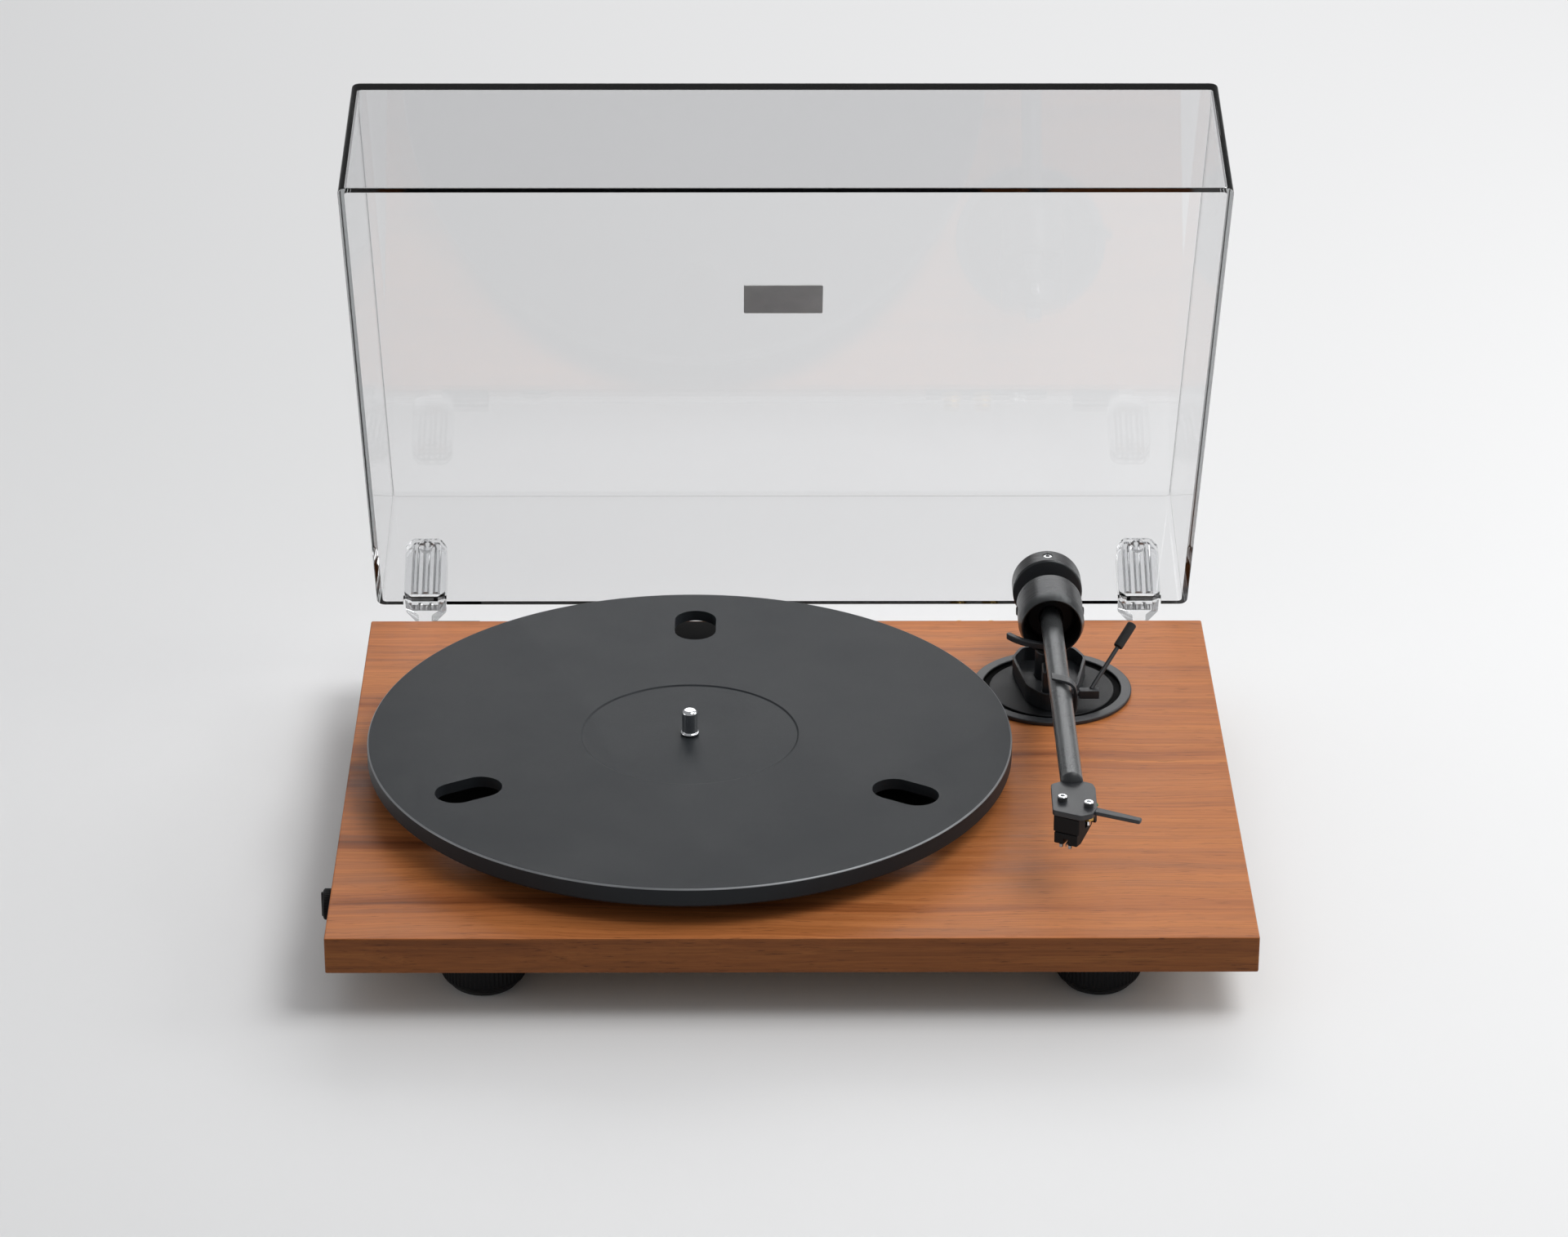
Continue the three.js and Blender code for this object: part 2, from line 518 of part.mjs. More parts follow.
// Points on the headshell turn with its offset angle about the middle of the cartridge screws.
function onHeadshell(right, forward) {
  const [c, s] = [Math.cos(HEADSHELL.offset), Math.sin(HEADSHELL.offset)];
  return [MOUNT.right + right * c - forward * s, -(MOUNT.forward + right * s + forward * c)];
}
const [screwRadius, screwHoleRadius] = [1.2, 1.55];
const screwPlaces = [-1, 1].map((side) => onHeadshell((side * MOUNT.pitch) / 2, 0));

function headshell() {
  const bottom = HEADSHELL.top - HEADSHELL.thickness;
  const corners = [
    [-4.8, -188], [-9.6, -191], [-10.1, -217.3], [2.1, -223.3], [7.5, -220.7], [9.7, -214.5],
    [10.1, -195], [9.1, -190.4], [4.8, -188],
  ];
  const body = plate(outline(corners, 1), bottom, HEADSHELL.top, 4);
  const lift = outline([[5, -210.6], [6.6, -217.6], [27.6, -227.6], [29, -224.2], [11, -214.4]], 0.9);
  const holes = screwPlaces.map(([x, y]) => rod(screwHoleRadius, -5, 5, 20).translate(x, y, 0));
  const [plug, joint] = [TUBE.bore - GAP, TUBE.front + GAP];
  const neck = alongForward(turned([
    [0, joint - 12], [plug, joint - 12], [plug, joint], [TUBE.radius, joint], [TUBE.radius, joint + 0.8],
    [4.4, joint + 2.2], [2, joint + 3.8], [0, joint + 4.4],
  ], 32));
  const mouth = block([-2.4, -joint - 2.6, -7], [2.4, -joint - 0.4, 0]);
  const wireway = join(bar([0, 0, 0], [0, -joint - 1, 0], 2, 20), mouth);
  const underside = block([-12, -joint - 9, -9], [12, -joint - 3, bottom]);
  const shell = join(body, plate(lift, bottom + 0.5, bottom + 2.3, 3), cut(neck, wireway, underside));
  return cut(shell, ...holes);
}
add(arm, 'headshell', headshell(), FINISH.satinBlack);

const mountBottom = HEADSHELL.top - HEADSHELL.thickness - GAP;
const CARTRIDGE = { front: 10.3, back: 6.4, height: 7.4 };
const cartridge = new THREE.Group(); // origin between the cartridge screws, its front towards -Y
cartridge.position.set(MOUNT.right, -MOUNT.forward, 0);
cartridge.rotation.z = -HEADSHELL.offset;
arm.add(cartridge);

function cartridgeBody() {
  const { front, back, height } = CARTRIDGE;
  const ears = outline([[-8.2, 4], [-8.2, -4], [8.2, -4], [8.2, 4]], 1.6);
  const flange = plate(ears, mountBottom - 1.6, mountBottom, 4);
  const body = block([-6.2, -front, mountBottom - height], [6.2, back, mountBottom]);
  const nutPockets = [-1, 1].map((side) => block(
    [side * 6.35 - 2.9, -3, mountBottom - 9], [side * 6.35 + 2.9, 3, mountBottom - 1.6]));
  const screwHole = (side) => rod(screwHoleRadius, -9, 2, 20).translate((side * MOUNT.pitch) / 2, 0, 0);
  return cut(join(flange, cut(body, ...nutPockets)), screwHole(-1), screwHole(1));
}
add(cartridge, 'cartridge_body', cartridgeBody(), FINISH.matteBlack);

// The stylus unit's underside rises to the back, and two prongs flank the cantilever.
function stylusUnit() {
  const top = mountBottom - CARTRIDGE.height - GAP;
  const { front, back } = CARTRIDGE;
  const side = [[-front, top], [-front, top - 5.4], [-front + 4.6, top - 5.8], [back, top - 1.4], [back, top]];
  const wedge = profiled(side, -5.6, 5.6);
  const channel = block([-1.1, -front - 1, top - 8], [1.1, -2, top - 2.6]);
  const prongs = [-1, 1].map((half) => block(
    [half * 2.1 - 0.7, -front - 0.3, top - 6.9], [half * 2.1 + 0.7, -front + 1.2, top - 5]));
  return join(cut(wedge, channel), ...prongs);
}
add(cartridge, 'stylus_unit', stylusUnit(), FINISH.matteBlack);

const cantileverRoot = mountBottom - CARTRIDGE.height - GAP - 3.6;
const cantilever = join(
  bar([0, -2.4, cantileverRoot], [0, -9.5, cantileverRoot - 2.2], 0.4, 10),
  turned([[0, -16.5], [0.3, -15.8], [0.3, -14.9], [0, -14.9]], 10).translate(0, -9.3, 0),
);
add(cartridge, 'cantilever', cantilever, FINISH.steel);

for (const [side, name] of [[-1, 'left'], [1, 'right']]) {
  const x = (side * MOUNT.pitch) / 2;
  const head = HEADSHELL.top + 0.1;
  const screw = cut(
    turned([[0, -8], [screwRadius, -8], [screwRadius, head], [2.2, head], [2.2, head + 2.1], [1.9, head + 2.4],
      [0, head + 2.4]], 24),
    new THREE.CylinderGeometry(1.1, 1.1, 3, 6).rotateX(Math.PI / 2).translate(0, 0, head + 2.6),
  );
  add(cartridge, `mount_screw_${name}`, screw.translate(x, 0, 0), FINISH.chrome);
  const nutTop = mountBottom - 1.6 - GAP;
  const nut = cut(
    new THREE.CylinderGeometry(2.5, 2.5, 1.8, 6).rotateX(Math.PI / 2).translate(0, 0, nutTop - 0.9),
    rod(screwRadius + GAP, -9, 0, 20),
  );
  add(cartridge, `mount_nut_${name}`, nut.translate(x, 0, 0), FINISH.brass);
}

// Four leads run from the neck's open underside round to the pins at the cartridge's back.
const leadColours = { red: 0x8d2a24, white: 0xd8d8d2, blue: 0x27467c, green: 0x2c6a3c };
const LEAD = { radius: 0.35, first: -3, spacing: 2, clip: 9 };

// A point straight behind lead i's pin on the cartridge, in the arm's own axes.
function behindPin(i, distance) {
  const [x, y] = onHeadshell(LEAD.first + i * LEAD.spacing, -CARTRIDGE.back - GAP - distance);
  return new THREE.Vector3(x, y, mountBottom - 2.6 - 2.4 * (i % 2));
}

Object.entries(leadColours).forEach(([colour, hex], i) => {
  const start = new THREE.Vector3(-1.58 + 1.05 * i, -TUBE.front - 1.7, -3);
  const below = start.clone().add(new THREE.Vector3(0.4 * i, 0.6 * i - 1.4, -3));
  const clip = behindPin(i, LEAD.clip);
  const route = new THREE.CatmullRomCurve3([start, below, behindPin(i, LEAD.clip + 2.4), clip]);
  const section = new THREE.Shape();
  section.absarc(0, 0, LEAD.radius, 0, 2 * Math.PI, false);
  const lead = new THREE.ExtrudeGeometry(section, { steps: 12, curveSegments: 3, extrudePath: route });
  add(arm, `lead_${colour}`, lead, finish(hex, 0.5));
});

// ---------------------------------------------------------------- counterweight on the rear stub
function counterweight() {
  const { radius, front, back } = WEIGHT;
  const body = alongForward(turned([
    [TUBE.stubRadius + GAP, back], [radius - 0.6, back], [radius, back + 0.6], [radius, front - 0.6],
    [radius - 0.6, front], [TUBE.stubRadius + GAP, front], [TUBE.stubRadius + GAP, back],
  ], 48));
  return cut(body, rod(2.4, 8, 20, 20).translate(0, -(front + back) / 2, 0));
}
add(arm, 'counterweight', counterweight(), FINISH.satinGrey);

const grubScrew = cut(
  rod(2.05, 8.4, 15.8, 20),
  new THREE.CylinderGeometry(1.1, 1.1, 3, 6).rotateX(Math.PI / 2).translate(0, 0, 15.5),
);
add(arm, 'weight_screw', grubScrew.translate(0, -(WEIGHT.front + WEIGHT.back) / 2, 0), FINISH.chrome);

// ---------------------------------------------------------------- lid and its hinges
// The lid is drawn closed, then turned open about the hinge pins.
const lid = new THREE.Group();
lid.position.set(LID.x, HINGE.y, HINGE.z);
lid.rotation.x = -LID_OPEN;
deck.add(lid);
const closed = new THREE.Group();
closed.position.set(0, -HINGE.y, -HINGE.z);
lid.add(closed);

function tapered(inset, bottom, top) {
  const [width, depth] = [LID.width - 2 * inset, LID.depth - 2 * inset];
  const geometry = plate(rectangle(width, depth, LID.corner - inset * 0.6), bottom, top, 6);
  const position = geometry.attributes.position;
  for (let i = 0; i < position.count; i += 1) {
    const lean = (LID.inset * position.getZ(i)) / LID.height;
    position.setX(i, position.getX(i) * (1 - (2 * lean) / LID.width));
    position.setY(i, position.getY(i) * (1 - (2 * lean) / LID.depth));
  }
  return geometry;
}

function lidShell() {
  const notches = [-1, 1].map((side) => block(
    [side * HINGE.x - 10.7, LID.depth / 2 - 6, -1], [side * HINGE.x + 10.7, LID.depth / 2 + 2, 3.5]));
  const shell = cut(tapered(0, 0, LID.height), tapered(LID.wall, -1, LID.height - LID.wall), ...notches);
  return shell.translate(0, 0, LID.rim);
}
add(closed, 'lid', lidShell(), FINISH.acrylic);

const badge = plate(rectangle(38, 20.6, 1), LID.rim + LID.height + GAP, LID.rim + LID.height + 1.1, 3);
add(closed, 'lid_badge', badge.translate(0, LID.depth / 2 - 156.4, 0), FINISH.satinGrey);

// Each hinge grips the rear wall through a notch in the rim and drops behind the plinth to its pin.
function hinge(side) {
  const lean = (z) => (LID.inset * (z - LID.rim)) / LID.height;
  const wallOut = (z) => LID.depth / 2 - lean(z);
  const [top, slotBottom, bottom] = [37.5, LID.rim + 3.1, LID.rim + GAP];
  const rear = PLINTH.depth / 2 + 0.7;
  const arc = [];
  for (let i = 0; i <= 8; i += 1) {
    const angle = Math.PI + (i / 8) * Math.PI;
    arc.push([HINGE.y + HINGE.boss * Math.cos(angle), HINGE.z + HINGE.boss * Math.sin(angle)]);
  }
  const profile = [
    [wallOut(bottom) - LID.wall - 3.4, bottom], [rear, bottom], [rear, HINGE.z + 1], ...arc,
    [HINGE.y + HINGE.boss, -2], [163.6, 7], [161.6, top - 3], [160, top], [wallOut(top) + 0.4, top],
    [wallOut(slotBottom) + 0.4, slotBottom], [wallOut(slotBottom) - LID.wall - 0.4, slotBottom],
    [wallOut(top) - LID.wall - 0.4, top], [wallOut(top) - LID.wall - 2, top],
    [wallOut(top) - LID.wall - 3.4, top - 2],
  ];
  const front = new THREE.Shape();
  const facets = [[3.2, -16], [3.2, -1.5], [10.2, 4.4], [10.2, 31.5], [6, 37.5]];
  facets.forEach(([x, z], i) => (i === 0 ? front.moveTo(x, z) : front.lineTo(x, z)));
  facets.reverse().forEach(([x, z]) => front.lineTo(-x, z));
  front.closePath();
  const faced = new THREE.ExtrudeGeometry(front, { depth: 40, bevelEnabled: false });
  faced.rotateX(Math.PI / 2).translate(0, 180, 0);
  const pin = alongX(rod(HINGE.pin, 0, HINGE.pinLength, 24)).translate(0, HINGE.y, HINGE.z);
  if (side > 0) pin.translate(-HINGE.pinLength, 0, 0);
  return join(common(profiled(profile, -12, 12), faced), pin);
}

// The bracket holds the pin in a bored boss on a plate at the plinth's rear face.
function hingeBracket(side) {
  const [near, far] = [HINGE.neck + 0.6, HINGE.pinLength + 1];
  const [outer, foot] = [HINGE.pin + 2.1, -8.6];
  const boss = alongX(rod(outer, near, far, 32));
  const back = block([near, REAR + GAP - HINGE.y, -outer], [far, 0, outer]);
  const flange = block([near, REAR + GAP - HINGE.y, foot], [far, REAR + GAP + 1.6 - HINGE.y, outer]);
  const bracket = cut(join(boss, back, flange), alongX(rod(HINGE.pin + GAP, 0, 40, 24)));
  const trimmed = cut(bracket, block([0, -20, -20], [40, REAR + GAP - HINGE.y, 20]));
  if (side > 0) trimmed.translate(-near - far, 0, 0);
  return trimmed.translate(LID.x + side * HINGE.x, HINGE.y, HINGE.z);
}

for (const [side, name] of [[-1, 'left'], [1, 'right']]) {
  add(closed, `lid_hinge_${name}`, hinge(side).translate(side * HINGE.x, 0, 0), FINISH.acrylic);
  add(deck, `hinge_bracket_${name}`, hingeBracket(side), FINISH.matteBlack);
}

// ---------------------------------------------------------------- origin: middle of the box, on the shelf
turntable.updateMatrixWorld(true);
const extent = new THREE.Box3().setFromObject(turntable, true);
const middle = extent.getCenter(new THREE.Vector3());
turntable.position.set(-middle.x, -middle.y, 0);

export default turntable;
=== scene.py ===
"""Looks of a belt-drive record player: fine meshes, procedural materials, light and camera."""

import math

import bmesh
import bpy
from mathutils import Matrix, Vector
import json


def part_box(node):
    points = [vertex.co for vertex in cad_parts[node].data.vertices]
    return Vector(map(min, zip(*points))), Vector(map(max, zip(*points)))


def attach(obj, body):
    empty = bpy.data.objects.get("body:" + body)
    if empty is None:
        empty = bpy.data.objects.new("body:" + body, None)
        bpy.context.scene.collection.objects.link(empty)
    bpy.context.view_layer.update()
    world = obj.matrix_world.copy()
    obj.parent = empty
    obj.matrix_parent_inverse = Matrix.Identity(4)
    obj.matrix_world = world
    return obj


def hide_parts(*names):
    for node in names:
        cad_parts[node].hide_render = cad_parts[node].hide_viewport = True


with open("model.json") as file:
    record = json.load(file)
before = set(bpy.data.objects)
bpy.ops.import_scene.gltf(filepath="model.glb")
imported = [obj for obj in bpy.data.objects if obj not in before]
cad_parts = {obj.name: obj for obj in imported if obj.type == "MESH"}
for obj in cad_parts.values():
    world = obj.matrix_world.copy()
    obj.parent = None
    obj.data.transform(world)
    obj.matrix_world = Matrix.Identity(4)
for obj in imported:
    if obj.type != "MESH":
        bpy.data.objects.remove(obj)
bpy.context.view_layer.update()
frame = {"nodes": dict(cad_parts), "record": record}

# Lengths are in millimetres until a mesh is placed, and ROW turns them into the frame's metres.
MM = 0.001
ROW = Matrix.Scale(MM, 4)
SLOT_OF = {part["node"]: part["material_slot"] for part in frame["record"]["subparts"]}
BODY_OF = {
    node: body
    for body, nodes in frame["record"]["behaviour"]["bodies"].items()
    for node in nodes
}


def corners(node):
    """The lowest and highest corner of a CAD node, in millimetres."""
    low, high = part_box(node)
    return low / MM, high / MM


def middle(node):
    low, high = corners(node)
    return (low + high) / 2


# ---------------------------------------------------------------- places, from the frame
ARM_YAW = math.radians(0.17)
ARM_LIFT = math.radians(1.7)
OFFSET = math.radians(27)
LID_OPEN = math.radians(62.7)
MOUNT = Vector((0.3, -210.6, 0))

plinth_low, plinth_high = corners("plinth")
deck_top = plinth_high.z
plinth_middle = middle("plinth")
DECK = Matrix.Translation((plinth_middle.x, plinth_middle.y, deck_top))
HALF_WIDTH = (plinth_high.x - plinth_low.x) / 2
REAR = (plinth_high.y - plinth_low.y) / 2
spindle_middle = middle("spindle")
SPINDLE = Matrix.Translation((spindle_middle.x, spindle_middle.y, deck_top))
pivot = middle("yoke_shaft")
pivot.z = middle("pivot_screw_left").z
base_middle = middle("arm_base_plate")
ARM_BASE = Matrix.Translation((base_middle.x, base_middle.y, deck_top))
FIXED_ARM = Matrix.Translation((pivot.x, pivot.y, deck_top))
YOKE = Matrix.Translation(pivot) @ Matrix.Rotation(-ARM_YAW, 4, "Z")
ARM = YOKE @ Matrix.Rotation(-ARM_LIFT, 4, "X")
CARTRIDGE = ARM @ Matrix.Translation(MOUNT) @ Matrix.Rotation(-OFFSET, 4, "Z")

HINGE = {"x": 177.5, "y": REAR + 5.05, "z": -8.4, "pin": 3.2, "boss": 4.4, "neck": 3.2}
LID = {"x": -2, "width": 402.5, "depth": 310.6, "height": 66.9, "wall": 3, "inset": 3.2, "rim": 1}
hinge_axis = Matrix.Translation((LID["x"], HINGE["y"], HINGE["z"]))
LID_PLACE = (
    DECK
    @ hinge_axis
    @ Matrix.Rotation(-LID_OPEN, 4, "X")
    @ Matrix.Translation((0, -HINGE["y"], -HINGE["z"]))
)

TO_X = Matrix.Rotation(math.pi / 2, 4, "Y")
TO_LEFT = Matrix.Rotation(-math.pi / 2, 4, "Y")
FORWARD = Matrix.Rotation(math.pi / 2, 4, "X")
REARWARD = Matrix.Rotation(-math.pi / 2, 4, "X")


# ---------------------------------------------------------------- outlines
def arc(x, y, radius, start, end, steps):
    """Points along a circle, from one angle to another in degrees."""
    angles = [math.radians(start + (end - start) * i / steps) for i in range(steps + 1)]
    return [(x + radius * math.cos(a), y + radius * math.sin(a)) for a in angles]


def rounded(points, radius, steps=3, ends=True):
    """The outline with each real corner turned into a small curve. ends says that it closes on itself."""
    result = []
    count = len(points)
    for i, point in enumerate(points):
        if not ends and i in (0, count - 1):
            result.append(tuple(point))
            continue
        corner = Vector(point)
        before = Vector(points[i - 1]) - corner
        after = Vector(points[(i + 1) % count]) - corner
        straight = before.angle(after) > math.radians(155)
        reach = min(radius, before.length * 0.45, after.length * 0.45)
        if straight or reach < 0.02:
            result.append(tuple(point))
            continue
        start, end = corner + before.normalized() * reach, corner + after.normalized() * reach
        for step in range(steps + 1):
            t = step / steps
            result.append(tuple(start.lerp(corner, t).lerp(corner.lerp(end, t), t)))
    return result


def rectangle(width, depth, radius, steps=6):
    x, y = width / 2, depth / 2
    return rounded([(-x, -y), (x, -y), (x, y), (-x, y)], radius, steps)


# ---------------------------------------------------------------- meshes
def to_mesh(bm):
    bmesh.ops.recalc_face_normals(bm, faces=bm.faces)
    mesh = bpy.data.meshes.new("shape")
    bm.to_mesh(mesh)
    bm.free()
    return mesh


def lathe(profile, segments=96, radius=0.3, ribs=0, rib_depth=0.0, ribbed=None):
    """A solid of revolution about Z. Between the heights in ribbed, its side has upright ribs."""
    closes = profile[0][0] > 0
    bm = bmesh.new()
    rings = []
    for r, z in rounded(profile, radius, 3, closes):
        if r < 1e-6:
            rings.append([bm.verts.new((0, 0, z))])
            continue
        deep = rib_depth if ribbed and ribbed[0] < z < ribbed[1] else 0
        ring = []
        for i in range(segments):
            angle = 2 * math.pi * i / segments
            here = r - deep * (0.5 + 0.5 * math.cos(ribs * angle))
            ring.append(bm.verts.new((here * math.cos(angle), here * math.sin(angle), z)))
        rings.append(ring)
    pairs = list(zip(rings, rings[1:])) + ([(rings[-1], rings[0])] if closes else [])
    for low, high in pairs:
        for i in range(segments):
            j = (i + 1) % segments
            loop = [low[i % len(low)], low[j % len(low)], high[j % len(high)], high[i % len(high)]]
            bm.faces.new(list(dict.fromkeys(loop)))
    return to_mesh(bm)


def rod(radius, bottom, top, segments=48, edge=0.2):
    return lathe([(0, bottom), (radius, bottom), (radius, top), (0, top)], segments, edge)


def prism(outline, bottom, top, edge=0.3, steps=2):
    """An upright slab with its top and bottom edges rounded."""
    bm = bmesh.new()
    ring = [bm.verts.new((x, y, bottom)) for x, y in outline]
    face = bm.faces.new(ring)
    grown = bmesh.ops.extrude_face_region(bm, geom=[face])
    raised = [item for item in grown["geom"] if isinstance(item, bmesh.types.BMVert)]
    bmesh.ops.translate(bm, verts=raised, vec=(0, 0, top - bottom))
    bmesh.ops.recalc_face_normals(bm, faces=bm.faces)
    if edge > 0:
        level = [e for e in bm.edges if abs(e.verts[0].co.z - e.verts[1].co.z) < 1e-5]
        bmesh.ops.bevel(bm, geom=level, offset=edge, segments=steps, profile=0.5, affect="EDGES")
    return to_mesh(bm)


def block(low, high, edge=0.3, steps=2):
    bm = bmesh.new()
    size = Vector(high) - Vector(low)
    centre = (Vector(high) + Vector(low)) / 2
    bmesh.ops.create_cube(bm, size=1, matrix=Matrix.Translation(centre) @ Matrix.Diagonal((*size, 1)))
    if edge > 0:
        bmesh.ops.bevel(bm, geom=bm.edges[:], offset=edge, segments=steps, profile=0.5, affect="EDGES")
    return to_mesh(bm)


def profiled(outline, low, high, edge=0.25):
    """A slab from an outline of (y, z) points, between two x values."""
    mesh = prism(outline, low, high, edge)
    mesh.transform(Matrix(((0, 0, 1, 0), (1, 0, 0, 0), (0, 1, 0, 0), (0, 0, 0, 1))))
    return mesh


def moved(mesh, matrix):
    mesh.transform(matrix)
    if matrix.determinant() < 0:
        mesh.flip_normals()
    return mesh


def shifted(mesh, x=0, y=0, z=0):
    return moved(mesh, Matrix.Translation((x, y, z)))


def bar(start, end, radius, segments=32, edge=0.2):
    direction = Vector(end) - Vector(start)
    turn = Vector((0, 0, 1)).rotation_difference(direction).to_matrix().to_4x4()
    return moved(rod(radius, 0, direction.length, segments, edge), Matrix.Translation(start) @ turn)


def temporary(mesh):
    obj = bpy.data.objects.new("temporary", mesh)
    bpy.context.scene.collection.objects.link(obj)
    return obj


def applied(obj):
    """The mesh of obj with its modifiers applied; obj goes."""
    graph = bpy.context.evaluated_depsgraph_get()
    graph.update()
    mesh = bpy.data.meshes.new_from_object(obj.evaluated_get(graph))
    bpy.data.objects.remove(obj)
    return mesh


def boolean(operation, mesh, others):
    obj = temporary(mesh)
    tools = [temporary(other) for other in others]
    for tool in tools:
        modifier = obj.modifiers.new("boolean", "BOOLEAN")
        modifier.operation = operation
        modifier.solver = "MANIFOLD"
        modifier.object = tool
    result = applied(obj)
    for tool in tools:
        bpy.data.objects.remove(tool)
    return result


def cut(mesh, *tools):
    return boolean("DIFFERENCE", mesh, tools)


def join(mesh, *others):
    return boolean("UNION", mesh, others)


def common(mesh, other):
    return boolean("INTERSECT", mesh, [other])


def beside(mesh, *others):
    """Several closed shapes in one mesh, left as they are."""
    bm = bmesh.new()
    for shape in (mesh, *others):
        bm.from_mesh(shape)
    result = bpy.data.meshes.new("shape")
    bm.to_mesh(result)
    bm.free()
    return result


def piece(node, mesh, place, soften=0.0, angle=40, extra=()):
    """A finished mesh in the frame. It stands for a CAD node and takes its body, slot and material.

    soften rounds what sharp edges are left. extra holds (material, test) pairs, for faces of another finish.
    """
    obj = temporary(mesh)
    if soften > 0:
        bevel = obj.modifiers.new("bevel", "BEVEL")
        bevel.width = soften
        bevel.segments = 2
        bevel.limit_method = "ANGLE"
        bevel.angle_limit = math.radians(angle)
        mesh = applied(obj)
        obj = temporary(mesh)
    bm = bmesh.new()
    bm.from_mesh(mesh)
    bmesh.ops.remove_doubles(bm, verts=bm.verts, dist=1e-4)
    bm.to_mesh(mesh)
    bm.free()
    mesh.materials.clear()
    mesh.materials.append(MATERIALS[SLOT_OF[node]])
    for index, (material, test) in enumerate(extra):
        mesh.materials.append(material)
        for polygon in mesh.polygons:
            if test(polygon.center, polygon.normal):
                polygon.material_index = index + 1
    mesh.transform(ROW @ place)
    mesh.polygons.foreach_set("use_smooth", [True] * len(mesh.polygons))
    mesh.set_sharp_from_angle(angle=math.radians(angle))
    normals = obj.modifiers.new("normals", "WEIGHTED_NORMAL")
    normals.keep_sharp = True
    mesh = applied(obj)
    obj = temporary(mesh)
    obj.name = mesh.name = f"{node}_detail"
    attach(obj, BODY_OF[node])
    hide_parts(node)
    return obj


# ---------------------------------------------------------------- materials
def linear(red, green, blue):
    """A colour from its sRGB values out of 255."""
    share = [value / 255 for value in (red, green, blue)]
    return [s / 12.92 if s <= 0.04045 else ((s + 0.055) / 1.055) ** 2.4 for s in share]


class Surface:
    """A material and short ways to add nodes to it."""

    def __init__(self, name, colour, roughness, metallic=0.0, **settings):
        self.material = bpy.data.materials.new(name)
        self.material.use_nodes = True
        self.tree = self.material.node_tree
        self.shader = self.tree.nodes["Principled BSDF"]
        self.coordinates = self.tree.nodes.new("ShaderNodeTexCoord").outputs["Object"]
        self.set("Base Color", (*colour, 1))
        self.set("Roughness", roughness)
        self.set("Metallic", metallic)
        for socket, value in settings.items():
            self.set(socket.replace("_", " "), value)

    def set(self, socket, value):
        self.shader.inputs[socket].default_value = value

    def feed(self, socket, output):
        self.tree.links.new(output, self.shader.inputs[socket])

    def node(self, kind, inputs=(), **settings):
        node = self.tree.nodes.new(kind)
        for name, value in settings.items():
            setattr(node, name, value)
        for key, value in dict(inputs).items():
            if isinstance(value, bpy.types.NodeSocket):
                self.tree.links.new(value, node.inputs[key])
            else:
                node.inputs[key].default_value = value
        return node

    def vector(self, operation, first, second):
        return self.node("ShaderNodeVectorMath", {0: first, 1: second}, operation=operation).outputs[0]

    def noise(self, scale, detail=3.0, roughness=0.5, vector=None, stretch=(1, 1, 1), distortion=0.0):
        """Noise between 0 and 1; scale is in waves a metre."""
        mapping = self.node("ShaderNodeMapping", {"Vector": vector or self.coordinates, "Scale": stretch})
        inputs = {"Vector": mapping.outputs[0], "Scale": scale, "Detail": detail}
        inputs |= {"Roughness": roughness, "Distortion": distortion}
        return self.node("ShaderNodeTexNoise", inputs).outputs["Fac"]

    def ramp(self, value, *stops):
        """A colour ramp from (position, colour) stops."""
        node = self.node("ShaderNodeValToRGB", {"Fac": value})
        elements = node.color_ramp.elements
        while len(elements) < len(stops):
            elements.new(0.5)
        for element, (position, colour) in zip(elements, stops):
            element.position = position
            element.color = (*colour, 1)
        return node.outputs["Color"]

    def between(self, value, low, high, start=0.0, end=1.0):
        inputs = {"Value": value, "From Min": start, "From Max": end, "To Min": low, "To Max": high}
        return self.node("ShaderNodeMapRange", inputs).outputs[0]

    def mix(self, factor, first, second, blend="MIX"):
        node = self.node("ShaderNodeMix", data_type="RGBA", blend_type=blend)
        sockets = [s for s in node.inputs if s.enabled]
        for socket, value in zip(sockets, (factor, first, second)):
            if isinstance(value, bpy.types.NodeSocket):
                self.tree.links.new(value, socket)
            else:
                socket.default_value = value if isinstance(value, float) else (*value, 1)
        return [s for s in node.outputs if s.enabled][0]

    def bump(self, height, distance, strength=1.0):
        """Raises the surface by up to distance, in millimetres."""
        inputs = {"Height": height, "Distance": distance * MM, "Strength": strength}
        self.feed("Normal", self.node("ShaderNodeBump", inputs).outputs[0])

    def finish(self, colour, variation=0.12, grain=2500, depth=0.02, spread=0.06, patch=60):
        """Slow changes of colour and gloss, and a fine grain in the surface."""
        slow = self.noise(patch, 4, 0.6)
        fine = self.noise(grain, 2, 0.6)
        dark = [c * (1 - variation) for c in colour]
        light = [min(1, c * (1 + variation)) for c in colour]
        tone = self.mix(self.between(slow, 0.0, 1.0, 0.3, 0.7), dark, light)
        self.feed("Base Color", tone)
        base = self.shader.inputs["Roughness"].default_value
        gloss = self.node("ShaderNodeMath", {0: slow, 1: fine}, operation="ADD").outputs[0]
        self.feed("Roughness", self.between(gloss, base - spread, base + spread, 0.7, 1.3))
        self.bump(fine, depth)
        return self


def plain(name, colour, roughness, metallic=0.0, settings=None, **finish):
    return Surface(name, colour, roughness, metallic, **(settings or {})).finish(colour, **finish).material


# Painted shadow: the deck under the platter is painted near-black in a circle whose rim fades, for the shade
# the platter casts. It reaches behind the platter's slots.
PLATTER_SHADOW = {"behind_spindle": 26, "full": 132, "gone": 141}


